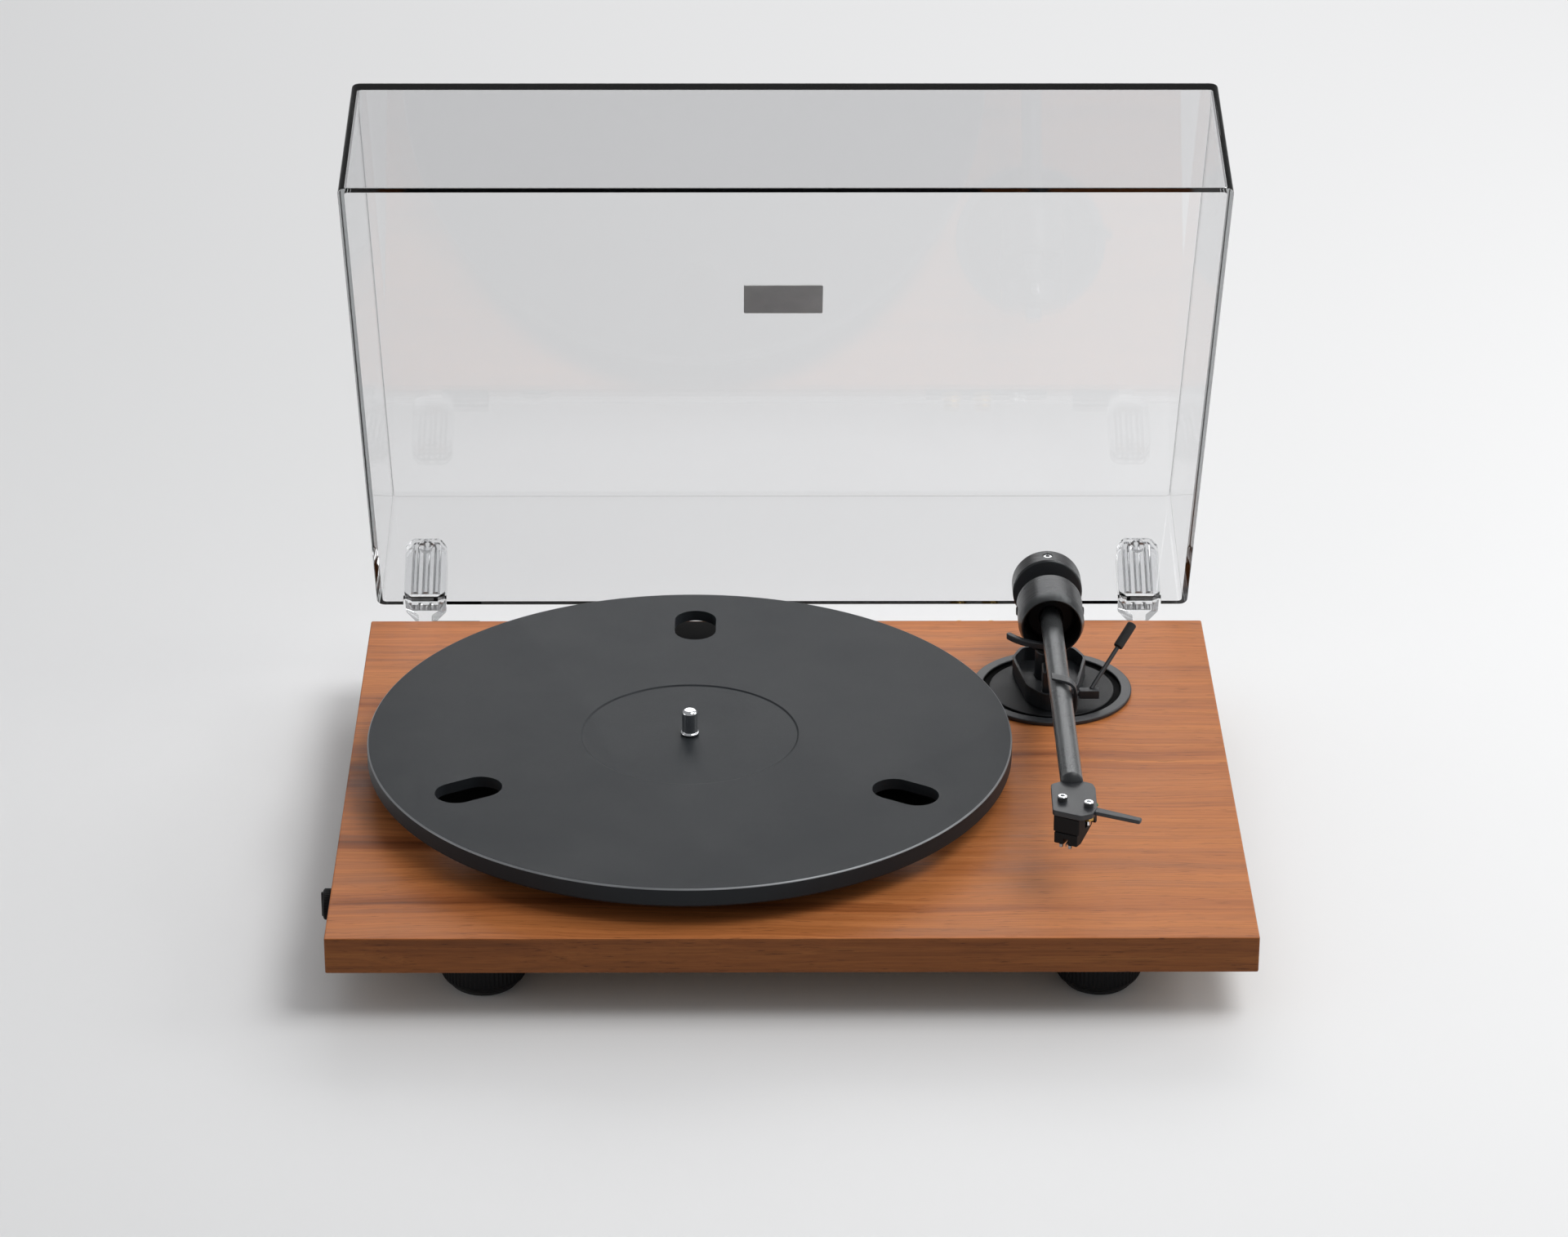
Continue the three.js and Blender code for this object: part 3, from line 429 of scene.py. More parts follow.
def walnut():
    """Oiled walnut veneer, its grain along X, with plain fibreboard underneath, painted shade on its upright
    faces and a painted shadow under the platter.
    """
    s = Surface("walnut_veneer", linear(176, 112, 74), 0.5, Specular_IOR_Level=0.2)
    wander = s.noise(5, 3, 0.5, stretch=(1, 2.2, 2.2))
    offset = s.node("ShaderNodeCombineXYZ", {"Y": s.between(wander, -0.012, 0.012), "Z": 0.0})
    bent = s.vector("ADD", s.coordinates, offset.outputs[0])
    bands = s.noise(1, 3, 0.55, bent, (1.3, 26, 26))
    lines = s.noise(1, 6, 0.68, bent, (3.6, 230, 230))
    fibres = s.noise(1, 3, 0.65, bent, (24, 1100, 1100))
    pores = s.noise(1, 2, 0.6, bent, (75, 1500, 1500))
    tone = s.ramp(
        s.between(lines, 0.0, 1.0, 0.26, 0.74),
        (0.0, linear(122, 72, 44)),
        (0.38, linear(176, 110, 72)),
        (0.62, linear(196, 127, 86)),
        (1.0, linear(216, 152, 108)),
    )
    banded = s.mix(s.between(bands, 0.0, 0.75, 0.38, 0.7), tone, linear(206, 138, 92))
    streak = s.ramp(
        bands,
        (0.3, (1, 1, 1)),
        (0.36, (0.42, 0.34, 0.3)),
        (0.4, (0.9, 0.88, 0.86)),
        (0.46, (1, 1, 1)),
    )
    streaked = s.mix(0.75, banded, streak, "MULTIPLY")
    fibred = s.mix(s.between(fibres, 0.0, 0.42, 0.4, 0.75), streaked, linear(120, 72, 44))
    pored = s.mix(s.between(pores, 0.0, 0.7, 0.62, 0.72), fibred, linear(78, 44, 27))
    toned = s.mix(1.0, pored, (0.86, 0.75, 0.52), "MULTIPLY")
    # Painted shade: upright faces take a darker copy of the veneer, as if lit less than the top.
    normal = s.node("ShaderNodeNewGeometry").outputs["Normal"]
    up = s.node("ShaderNodeSeparateXYZ", {0: normal}).outputs["Z"]
    upright = s.between(up, 1.0, 0.0, 0.3, 0.8)
    sides_shaded = s.mix(upright, toned, s.mix(1.0, toned, (0.44, 0.42, 0.36), "MULTIPLY"))
    board = s.mix(s.noise(700, 4), linear(126, 96, 66), linear(152, 119, 84))
    below = s.between(up, 1.0, 0.0, -0.9, -0.8)
    # Painted shadow under the platter: near-black and rougher, fading out between the full and gone radii.
    centre = ROW @ (spindle_middle + Vector((0, PLATTER_SHADOW["behind_spindle"], 0)))
    flat = s.vector("MULTIPLY", s.vector("SUBTRACT", s.coordinates, centre), (1, 1, 0))
    distance = s.node("ShaderNodeVectorMath", {0: flat}, operation="LENGTH").outputs["Value"]
    platter_shadow_mask = s.between(distance, 1.0, 0.0, PLATTER_SHADOW["full"] * MM, PLATTER_SHADOW["gone"] * MM)
    shadowed_deck = s.mix(platter_shadow_mask, sides_shaded, linear(8, 8, 8))
    s.feed("Base Color", s.mix(below, shadowed_deck, board))
    s.feed("Roughness", s.mix(platter_shadow_mask, s.between(lines, 0.42, 0.58, 0.3, 0.7), (0.95, 0.95, 0.95)))
    height = s.node("ShaderNodeMath", {0: fibres, 1: pores}, operation="SUBTRACT").outputs[0]
    s.bump(height, 0.06, 0.7)
    return s.material


def turned_metal(name, colour, roughness, rings, depth=0.004, settings=None):
    """Metal with fine marks round its axis, the arm's forward direction."""
    s = Surface(name, colour, roughness, 1.0, **(settings or {}))
    marks = s.noise(1, 3, 0.7, stretch=(20, rings, 20))
    slow = s.noise(40, 3)
    s.feed("Base Color", s.mix(slow, [c * 0.86 for c in colour], [min(1, c * 1.1) for c in colour]))
    s.feed("Roughness", s.between(marks, roughness - 0.06, roughness + 0.08, 0.3, 0.7))
    s.bump(marks, depth)
    return s.material


def clear(name, tint, roughness, scuffs):
    """Clear plastic. Lamps shine through it, so that it throws only a faint shadow."""
    s = Surface(name, tint, roughness, IOR=1.49, Transmission_Weight=1.0)
    haze = s.noise(scuffs, 4, 0.65)
    s.feed("Roughness", s.between(haze, roughness, roughness + 0.03, 0.45, 0.8))
    s.bump(s.noise(9, 2), 0.05, 0.3)
    through = s.node("ShaderNodeBsdfTransparent", {"Color": (*[c**0.5 for c in tint], 1)})
    lamp = s.node("ShaderNodeLightPath").outputs["Is Shadow Ray"]
    glass = s.node("ShaderNodeMixShader", {0: lamp, 1: s.shader.outputs[0], 2: through.outputs[0]})
    s.tree.links.new(glass.outputs[0], s.tree.nodes["Material Output"].inputs["Surface"])
    return s.material


MATERIALS = {
    "walnut_veneer": walnut(),
    "platter_coating": plain(
        "platter_coating", linear(34, 37, 40), 0.48, grain=2600, depth=0.03, variation=0.05, patch=25,
        settings={"Specular IOR Level": 0.14},
    ),
    "black_plastic": plain(
        "black_plastic", linear(14, 14, 15), 0.55, grain=3000, depth=0.02,
        settings={"Specular IOR Level": 0.18},
    ),
    "satin_black": plain("satin_black", linear(38, 40, 43), 0.42, grain=3500, depth=0.012),
    "rubber": plain("rubber", linear(24, 24, 25), 0.8, grain=1800, depth=0.04),
    "polished_steel": plain(
        "polished_steel", linear(214, 216, 218), 0.14, 1.0, grain=900, depth=0.002, spread=0.04
    ),
    "steel": plain("steel", linear(158, 160, 163), 0.35, 1.0, grain=1600, depth=0.006),
    "grey_steel": turned_metal("grey_steel", linear(66, 67, 68), 0.3, 2600),
    "grey_anodised": turned_metal("grey_anodised", linear(71, 72, 73), 0.3, 2600),
    "black_anodised": plain(
        "black_anodised", linear(82, 84, 85), 0.3, 0.5, grain=3200, depth=0.004, spread=0.05
    ),
    "brass": plain("brass", linear(196, 164, 98), 0.28, 1.0, grain=1500, depth=0.004),
    "circuit_board": plain("circuit_board", linear(36, 92, 58), 0.45, grain=1200, depth=0.02),
    "clear_acrylic": clear("clear_acrylic", (0.9, 0.9, 0.905), 0.0, 45),
    "clear_plastic": clear("clear_plastic", (0.95, 0.955, 0.96), 0.01, 90),
    "wire_red": plain("wire_red", linear(150, 42, 34), 0.5, grain=3000, depth=0.01),
    "wire_white": plain("wire_white", linear(222, 221, 214), 0.5, grain=3000, depth=0.01),
    "wire_blue": plain("wire_blue", linear(42, 74, 134), 0.5, grain=3000, depth=0.01),
    "wire_green": plain("wire_green", linear(46, 112, 62), 0.5, grain=3000, depth=0.01),
}
# Painted shade: near-black for the insides of bores, grooves and sockets.
RECESS_SHADE = plain("painted_recess_shade", linear(9, 9, 10), 0.9, settings={"Specular IOR Level": 0.1})
CHAMFER = plain("dark_anodised", linear(66, 68, 69), 0.34, 0.9, grain=3200, depth=0.004)
BADGE_STRIP = plain("badge_strip", linear(225, 225, 224), 0.4, grain=1500, depth=0.004)
BADGE_FACE = plain("badge_face", linear(200, 199, 198), 0.45, grain=1500, depth=0.004)
PLATE_BLACK = plain("plate_black", linear(22, 23, 25), 0.5, settings={"Specular IOR Level": 0.2})
# Painted highlight: a lighter grey for the platter's rounded top edge.
EDGE_HIGHLIGHT = plain("platter_edge_highlight", linear(128, 130, 132), 0.4, 0.5, grain=3000, depth=0.004)
# Painted shade: a dark-tinted clear plastic for the lid's bottom edge, for the dark line refraction shows
# there.
LID_EDGE_SHADE = clear("lid_edge_shade", (0.2, 0.21, 0.215), 0.05, 45)
for node, cad in frame["nodes"].items():
    for material_slot in cad.material_slots:
        material_slot.material = MATERIALS[SLOT_OF[node]]


# ---------------------------------------------------------------- feet
FOOT = {"radius": 19.4, "bottom": 2.4, "top": 23.7, "ribs": 60}


def feet():
    radius, bottom, top = FOOT["radius"], FOOT["bottom"], FOOT["top"]
    for place in ("front_left", "front_right", "rear_left", "rear_right"):
        foot, pad = f"foot_{place}", f"foot_pad_{place}"
        centre = middle(foot)
        here = Matrix.Translation((centre.x, centre.y, 0))
        body = lathe(
            [
                (0, bottom), (15.5, bottom), (18, 3.8), (radius, 6.4), (radius, 18.8), (18.6, 20),
                (13, 20), (13, top), (0, top),
            ],
            240, 0.7, FOOT["ribs"], 0.45, (6.0, 19.2),
        )
        sole = lathe([(0, 0.5), (6, 0.5), (6.6, 0), (14.4, 0), (15.5, 1), (15.5, 2.1), (0, 2.1)], 96, 0.4)
        piece(foot, body, here)
        piece(pad, sole, here)


# ---------------------------------------------------------------- platter and spindle
PLATTER = {"radius": 150, "top": 19.3, "rim_bottom": 10, "web_bottom": 14, "label": 50, "bore": 3.9}
PLATTER |= {"hub": 68, "rim": 144}
SLOTS = {"width": 20, "length": 32, "distance": 115, "first": 89.2}


def platter():
    p = PLATTER
    disc = lathe(
        [
            (p["bore"], p["rim_bottom"]), (p["hub"], p["rim_bottom"]), (p["hub"] + 1, p["web_bottom"]),
            (p["rim"] - 1, p["web_bottom"]), (p["rim"], p["rim_bottom"]), (148.9, p["rim_bottom"]),
            (p["radius"], 11.1), (p["radius"], 18.7),
            (149.4, p["top"]), (p["label"] + 0.7, p["top"]), (p["label"], 18.8), (p["bore"], 18.8),
        ],
        256, 0.25,
    )
    reach = (SLOTS["length"] - SLOTS["width"]) / 2
    outline = arc(reach, 0, SLOTS["width"] / 2, -90, 90, 20) + arc(-reach, 0, SLOTS["width"] / 2, 90, 270, 20)
    tools = []
    for i in range(3):
        turn = Matrix.Rotation(math.radians(SLOTS["first"] + 120 * i), 4, "Z")
        tools.append(moved(prism(outline, 5, 25, 0), turn @ Matrix.Translation((SLOTS["distance"], 0, 0))))
    # Painted highlight: the rounded top edge is lighter than the coating, for the thin highlight line along
    # it.
    edge = lambda centre, normal: math.hypot(centre.x, centre.y) > 149.3 and 0.25 < normal.z < 0.97
    piece("platter", cut(disc, *tools), SPINDLE, soften=0.35, angle=50, extra=[(EDGE_HIGHLIGHT, edge)])


def spindle():
    foot, tip = corners("spindle")[0].z - deck_top, corners("spindle")[1].z - deck_top
    top = PLATTER["top"]
    shape = lathe(
        [
            (0, foot), (3.2, foot), (3.6, foot + 0.4), (3.6, top + 0.1), (4.3, top + 0.1), (4.3, top + 1),
            (3.6, top + 1.3), (3.6, tip - 1.1), (2.6, tip), (0, tip),
        ],
        96, 0.5,
    )
    piece("spindle", shape, SPINDLE)


# ---------------------------------------------------------------- tonearm base
BASE = {"radius": 38.5, "inner": 33.4, "top": 2.3, "groove": 0.4, "plate_radius": 30.1, "plate_top": 1.5}


def base_discs():
    radius, inner, top, groove = BASE["radius"], BASE["inner"], BASE["top"], BASE["groove"]
    edge, plate_top = BASE["plate_radius"], BASE["plate_top"]
    hole = pivot - base_middle
    column = lambda: shifted(rod(6.9, -3, 14, 64, 0), hole.x, hole.y)
    ring = lathe(
        [
            (10.5, 0.1), (38, 0.1), (radius, 0.6), (radius, 1.9), (38.1, top), (33.7, top), (inner, 2),
            (inner, groove), (10.5, groove),
        ],
        160, 0.25,
    )
    plate = lathe([(0, 0.7), (edge, 0.7), (edge, 1.2), (29.8, plate_top), (0, plate_top)], 160, 0.2)
    # Painted shade: the groove's floor and inner wall are near-black, for the shade in the recess.
    floor = lambda centre, normal: centre.z < 1.4 and math.hypot(centre.x, centre.y) < inner + 0.2
    piece("arm_base_ring", cut(ring, column()), ARM_BASE, extra=[(RECESS_SHADE, floor)])
    whole = lambda centre, normal: True
    piece("arm_base_plate", cut(plate, column()), ARM_BASE, extra=[(PLATE_BLACK, whole)])


def shield_outline(inset, radius):
    half = [13.2 - inset, 18 - inset, 12.2 - inset]
    right = [(half[0], 17.6 - inset), (half[1], 6), (half[2], -25), (4, inset - 35)]
    left = [(-x, y) for x, y in reversed(right)]
    return rounded(right + left, radius, 8)


CUE = {"y": -27, "z": 7.4, "base": (19.1, 1.2, 1.8), "tip": (39.6, 23.2, 25.6)}


def bearing_shield():
    body = shifted(prism(shield_outline(0, 3.4), 1.8, 10.6, 0.35, 3), 0.5)
    hollow = shifted(prism(shield_outline(1.3, 2.6), 3.6, 12, 0), 0.5)
    pin = shifted(moved(rod(1.7, 0, 18, 32, 0), TO_X), 0, CUE["y"], CUE["z"])
    shape = cut(body, hollow, rod(7.1, 0, 14, 64, 0), pin)
    piece("bearing_shield", shape, FIXED_ARM, soften=0.3)


def arm_column():
    shape = lathe([(4.3, -10), (6.6, -10), (6.6, 17.4), (6, 18), (4.3, 18)], 64)
    piece("arm_column", shape, FIXED_ARM)


STRAP = {"y": -93.1, "depth": (-0.8, 5.0), "slant": 0.72}


def cradle_strap():
    """The hook that the tube rests in, skewed so that it crosses the tube at a slant."""
    inside = [(-4.4, 46.3), (2, 46.5), (4.5, 46.1), (5.6, 44.2), (5.6, 42), (5.6, 35.4), (5.2, 33.4)]
    inside += [(3.4, 32.3), (0, 32), (-3.6, 32)]
    outside = [(-3.6, 30.2), (1, 30.2), (5, 31), (7, 33.4), (7.2, 36), (7.2, 43), (6.4, 46.2), (4.6, 47.7)]
    outside += [(2, 48), (-4.4, 47.4)]
    strap = prism(rounded(inside + outside, 1.2, 4), *STRAP["depth"], 0.25)
    slant = -STRAP["slant"]
    skew = Matrix(((1, 0, 0, 0), (slant, 0, 1, STRAP["y"]), (0, 1, 0, 0), (0, 0, 0, 1)))
    return moved(strap, skew)


def arm_rest():
    tower = block((-4.5, -29.5, 3.9), (4.5, -18.5, 20), 0.9, 3)
    fins = [block((side * 3.4 - 0.7, -20, 3.9), (side * 3.4 + 0.7, -14.6, 14.5), 0.3) for side in (-1, 1)]
    hole = shifted(rod(2.35, 0, 26, 48, 0), 0, -24.1)
    spine = [(-27, 11), (-29, 14), (-88, 28.6), (-93.5, 29.2), (-93.5, 32), (-87, 32), (-27, 20)]
    beam = profiled(spine, -1.6, 1.6, 0.35)
    shape = join(cut(join(tower, beam, *fins), hole), cradle_strap())
    piece("arm_rest", shape, FIXED_ARM, soften=0.15)


LIFT_BAR = {"radius": 24.15, "half": 1.35, "first": -85, "last": -146, "bottom": 29.8, "top": 32.8}


def lift_bar():
    radius, half, first, last = (LIFT_BAR[key] for key in ("radius", "half", "first", "last"))
    ends = [(radius * math.cos(math.radians(a)), radius * math.sin(math.radians(a))) for a in (first, last)]
    bank = arc(0, 0, radius + half, first, last, 28)
    bank += arc(*ends[1], half, last, last - 180, 10)[1:-1]
    bank += arc(0, 0, radius - half, last, first, 28)
    bank += arc(*ends[0], half, first + 180, first, 10)[1:-1]
    curved = prism(bank, LIFT_BAR["bottom"], LIFT_BAR["top"], 0.45, 3)
    post = shifted(rod(2, 8, 31, 48), 0, -24.1)
    piece("lift_bar", join(curved, post), FIXED_ARM)


def cue_lever():
    here = FIXED_ARM @ Matrix.Translation((0, CUE["y"], CUE["z"]))
    base, tip = Vector(CUE["base"]), Vector(CUE["tip"])
    along = lambda share: tuple(base.lerp(tip, share))
    stub = block((13.2, -2.1, -2.1), (22.8, 2.1, 2.1), 0.35)
    pin = moved(rod(1.3, 5, 14.2, 32), TO_X)
    piece("cue_lever", join(stub, pin, bar(base, along(0.97), 1.05, 32, 0.1)), here)
    sleeve = cut(bar(along(0.64), tip, 2.3, 48, 0.7), bar(along(0.5), along(0.98), 1.2, 32, 0))
    piece("cue_grip", sleeve, here)


# ---------------------------------------------------------------- yoke, ring and pivots
RING = {"radius": 15.8, "bore": 13.1, "back": -8, "shoulder": 12.8, "front": 17.6, "front_radius": 14.1}


def yoke():
    shaft = lathe([(0, -44), (4, -44), (4, -19.6), (6.4, -19.6), (8, -17.6), (8, -16.3), (0, -16.3)], 96, 0.4)
    piece("yoke_shaft", shaft, YOKE)
    r = RING
    tube = lathe(
        [
            (r["bore"], r["back"]), (r["radius"] - 0.5, r["back"]), (r["radius"], r["back"] + 0.5),
            (r["radius"], r["shoulder"]), (r["front_radius"] + 0.3, r["front"]),
            (r["front_radius"] - 0.4, r["front"]), (r["bore"], r["front"] - 1.2),
        ],
        160, 0.3,
    )
    screw_hole = moved(rod(2.4, -20, 20, 64, 0), TO_X)
    ring = cut(moved(tube, FORWARD), screw_hole)
    rim = r["front_radius"]
    out = lambda centre: math.hypot(centre.x, centre.z)
    # Painted shade: the ring's bore is near-black, for the shade inside it.
    inner = lambda centre, normal: out(centre) < rim - 0.2 and abs(normal.y) < 0.9
    chamfer = lambda centre, normal: centre.y < -r["shoulder"] - 0.3 and out(centre) > rim - 0.3
    piece("bearing_ring", ring, YOKE, extra=[(RECESS_SHADE, inner), (CHAMFER, chamfer)])
    for side, name in ((TO_LEFT, "pivot_screw_left"), (TO_X, "pivot_screw_right")):
        body = lathe([(0, 12.1), (1.6, 12.9), (2.1, 13.5), (2.1, 15.9), (1.7, 16.3), (0, 16.3)], 48, 0.2)
        slotted = cut(body, block((-3, -0.3, 15.6), (3, 0.3, 17), 0))
        piece(name, moved(slotted, side), YOKE)


# ---------------------------------------------------------------- arm tube, headshell and cartridge
TUBE = {"radius": 5.1, "bore": 4.1, "front": 187.4, "back": -14, "stub_radius": 4, "stub_end": -41}


def arm_tube():
    t = TUBE
    tube = lathe(
        [
            (0, t["stub_end"]), (t["stub_radius"], t["stub_end"]), (t["stub_radius"], t["back"]),
            (t["radius"], t["back"]), (t["radius"], t["front"]), (t["bore"], t["front"]),
            (t["bore"], t["back"] + 4), (0, t["back"] + 4),
        ],
        96, 0.35,
    )
    piece("arm_tube", moved(tube, FORWARD), ARM)
    collar = lathe([(5.4, -7), (10.6, -7), (11.8, -5.8), (11.8, 5.8), (10.6, 7), (5.4, 7)], 96, 0.8)
    notches = [block((side * 4.6 - 1.8, -9, 7.8), (side * 4.6 + 1.8, -5, 9.8), 0.2) for side in (-1, 1)]
    piece("bearing_block", join(moved(collar, FORWARD), *notches), ARM)


GAP = 0.3  # between pieces that touch
HEADSHELL = {"top": 1, "thickness": 2.6, "pitch": 12.7, "hole": 1.55}
mount_bottom = HEADSHELL["top"] - HEADSHELL["thickness"] - GAP


def headshell():
    top = HEADSHELL["top"]
    bottom = top - HEADSHELL["thickness"]
    plan = [(-4.8, -188), (-9.6, -191), (-10.1, -217.3), (2.1, -223.3), (7.5, -220.7), (9.7, -214.5)]
    plan += [(10.1, -195), (9.1, -190.4), (4.8, -188)]
    body = prism(rounded(plan, 1.3, 6), bottom, top, 0.3, 3)
    grip = rounded([(5, -210.6), (6.6, -217.6), (27.6, -227.6), (29, -224.2), (11, -214.4)], 1.1, 6)
    joint = TUBE["front"] + GAP
    neck = lathe(
        [
            (0, joint - 12), (3.8, joint - 12), (3.8, joint), (5.1, joint), (5.1, joint + 0.3),
            (4.3, joint + 1.2), (2.6, joint + 2.2), (0, joint + 2.8),
        ],
        96, 0.3,
    )
    wireway = bar((0, 0, 0), (0, -joint - 1, 0), 2, 48, 0)
    mouth = block((-2.4, -joint - 2.6, -7), (2.4, -joint - 0.4, 0), 0)
    underside = block((-12, -joint - 9, -9), (12, -joint - 3, bottom), 0)
    shank = cut(moved(neck, FORWARD), wireway, mouth, underside)
    turn = Matrix.Translation(MOUNT) @ Matrix.Rotation(-OFFSET, 4, "Z")
    screws = [Matrix.Translation((side * HEADSHELL["pitch"] / 2, 0, 0)) for side in (-1, 1)]
    holes = [moved(rod(HEADSHELL["hole"], -5, 5, 48, 0), turn @ screw) for screw in screws]
    shape = cut(join(body, prism(grip, bottom + 0.5, bottom + 2.3, 0.45, 3), shank), *holes)
    piece("headshell", shape, ARM, soften=0.12)


CARTRIDGE_BODY = {"front": 10.3, "back": 6.4, "height": 7.4, "half": 6.2}


def cartridge():
    top = mount_bottom
    pitch = HEADSHELL["pitch"]
    front, back, height, half = (CARTRIDGE_BODY[key] for key in ("front", "back", "height", "half"))
    flange = prism(rounded([(-8.2, 4), (-8.2, -4), (8.2, -4), (8.2, 4)], 1.9, 6), top - 1.6, top, 0.2)
    plan = rounded([(-half, -front), (half, -front), (half, back), (-half, back)], 1.2, 5)
    body = prism(plan, top - height, top, 0.25)
    brace = rounded([(2.6, top - 1.2), (6.2, top - 1.2), (6.2, top - 7), (4.6, top - 7), (2.6, top - 3)], 0.3)
    braces = [profiled(brace, s * 7 - 0.9, s * 7 + 0.9, 0.2) for s in (-1, 1)]
    pockets = [
        block((side * 6.35 - 2.9, -3, top - 9), (side * 6.35 + 2.9, 3, top - 1.6), 0) for side in (-1, 1)
    ]
    holes = [shifted(rod(HEADSHELL["hole"], -9, 2, 48, 0), side * pitch / 2) for side in (-1, 1)]
    shape = cut(join(flange, cut(body, *pockets), *braces), *holes)
    piece("cartridge_body", shape, CARTRIDGE, soften=0.12)

    ledge = top - height - GAP
    slope = [(-front, ledge), (-front, ledge - 5.4), (-5.7, ledge - 5.8), (back, ledge - 1.4), (back, ledge)]
    wedge = profiled(rounded(slope, 0.6), -5.6, 5.6, 0.5)
    channel = block((-1.1, -12, ledge - 8), (1.1, -2, ledge - 2.6), 0)
    prongs = [
        block((side * 2.1 - 0.7, -10.6, ledge - 6.9), (side * 2.1 + 0.7, -9.1, ledge - 5), 0.25)
        for side in (-1, 1)
    ]
    tips = lambda centre, normal: centre.z < ledge - 5.9
    shape = join(cut(wedge, channel), *prongs)
    piece("stylus_unit", shape, CARTRIDGE, soften=0.1, extra=[(MATERIALS["steel"], tips)])

    root = ledge - 3.6
    needle = lathe([(0, -16.5), (0.3, -15.8), (0.3, -14.9), (0, -14.9)], 24, 0.05)
    shape = join(bar((0, -2.4, root), (0, -9.5, root - 2.2), 0.4, 24, 0.05), shifted(needle, 0, -9.3))
    piece("cantilever", shape, CARTRIDGE)


def mount_screws():
    head = HEADSHELL["top"] + 0.1
    for side, name in ((-1, "left"), (1, "right")):
        x = side * HEADSHELL["pitch"] / 2
        shank = [(0, -8), (1.2, -8), (1.2, head), (2.2, head)]
        shank += [(2.2, head + 2.1), (1.9, head + 2.4), (0, head + 2.4)]
        screw = lathe(shank, 144, 0.12, 36, 0.12, (head + 0.15, head + 2.0))
        socket = prism(arc(0, 0, 1.1, 0, 300, 5), head + 1.2, head + 4, 0)
        knurl = lambda centre, normal: head + 0.1 < centre.z < head + 2.0 and abs(normal.z) < 0.5
        dark = MATERIALS["black_anodised"]
        piece(f"mount_screw_{name}", shifted(cut(screw, socket), x), CARTRIDGE, extra=[(dark, knurl)])
        top = mount_bottom - 1.9
        nut = cut(prism(arc(0, 0, 2.5, 0, 300, 5), top - 1.8, top, 0.15), rod(1.5, -9, 0, 32, 0))
        piece(f"mount_nut_{name}", shifted(nut, x), CARTRIDGE)


def spline_tube(points, radius, place):
    """A round wire through points, as a mesh."""
    curve = bpy.data.curves.new("wire", "CURVE")
    curve.dimensions = "3D"
    curve.bevel_depth = radius
    curve.bevel_resolution = 4
    curve.use_fill_caps = True
    curve.resolution_u = 10
    line = curve.splines.new("BEZIER")
    line.bezier_points.add(len(points) - 1)
    for knot, point in zip(line.bezier_points, points):
        knot.co = place @ Vector(point)
        knot.handle_left_type = knot.handle_right_type = "AUTO"
    return applied(temporary(curve))


def leads():
    """Four leads from the tube's mouth, round the right side of the headshell, to the cartridge's pins."""
    back = Matrix.Translation(MOUNT) @ Matrix.Rotation(-OFFSET, 4, "Z")
    for i, colour in enumerate(("red", "white", "blue", "green")):
        across, down = -3 + i * 2.0, mount_bottom - 2.6 - 2.4 * (i % 2)
        pin, clip, end, loop = (back @ Vector((across, y, down)) for y in (6.6, 9.6, 15.7, 18.1))
        start = Vector((-1.58 + 1.05 * i, -TUBE["front"] - 1.7, -3))
        below = start + Vector((0.4 * i, 0.6 * i - 1.4, -3))
        wire = spline_tube([start, below, loop, end], 0.35, Matrix.Identity(4))
        metal = lambda centre, normal: (centre - (clip + pin) / 2).length < 1.9
        shape = beside(wire, bar(clip, pin, 0.65, 24, 0.1), bar(end, clip, 0.95, 32, 0.2))
        dark = lambda centre, normal: (centre - (clip + end) / 2).length < 3.3
        extra = [(MATERIALS["black_plastic"], dark), (MATERIALS["brass"], metal)]
        piece(f"lead_{colour}", shape, ARM, extra=extra if i % 2 else extra[1:])


WEIGHT = {"front": -22.2, "back": -34.7, "radius": 16.8, "bore": 4.3}


def counterweight():
    front, back, radius, bore = (WEIGHT[key] for key in ("front", "back", "radius", "bore"))
    body = lathe(
        [
            (bore, back), (radius - 0.6, back), (radius, back + 0.6), (radius, front - 0.6),
            (radius - 0.6, front), (bore, front),
        ],
        160, 0.35,
    )
    hole = shifted(rod(2.4, 8, 20, 64, 0), 0, -(front + back) / 2)
    face = lambda centre, normal: normal.y < -0.8 and math.hypot(centre.x, centre.z) < radius
    shape = cut(moved(body, FORWARD), hole)
    piece("counterweight", shape, ARM, soften=0.15, extra=[(MATERIALS["satin_black"], face)])
    screw = cut(rod(2.2, 8.4, 16.5, 48, 0.35), prism(arc(0, 0, 1.2, 0, 300, 5), 13.5, 18, 0))
    # Painted shade: the screw's socket is near-black, for the shade inside it.
    socket = lambda centre, normal: math.hypot(centre.x, centre.y + (front + back) / 2) < 1.25
    piece("weight_screw", shifted(screw, 0, -(front + back) / 2), ARM, extra=[(RECESS_SHADE, socket)])


# ---------------------------------------------------------------- lid and hinges
def lean(z):
    """How far the lid's wall has come in at height z."""
    return LID["inset"] * (z - LID["rim"]) / LID["height"]


def hood(inset, bottom, top, radius, edge):
    """An upright slab whose walls lean in towards the top, as the lid's do."""
    width, depth = LID["width"] - 2 * inset, LID["depth"] - 2 * inset
    mesh = prism(rectangle(width, depth, radius, 8), bottom, top, edge, 4)
    for vertex in mesh.vertices:
        inward = lean(vertex.co.z + LID["rim"])
        vertex.co.x *= 1 - 2 * inward / LID["width"]
        vertex.co.y *= 1 - 2 * inward / LID["depth"]
    return mesh


BADGE = {"width": 38, "depth": 20.6, "line": -7.2, "from_rear": 156.4}


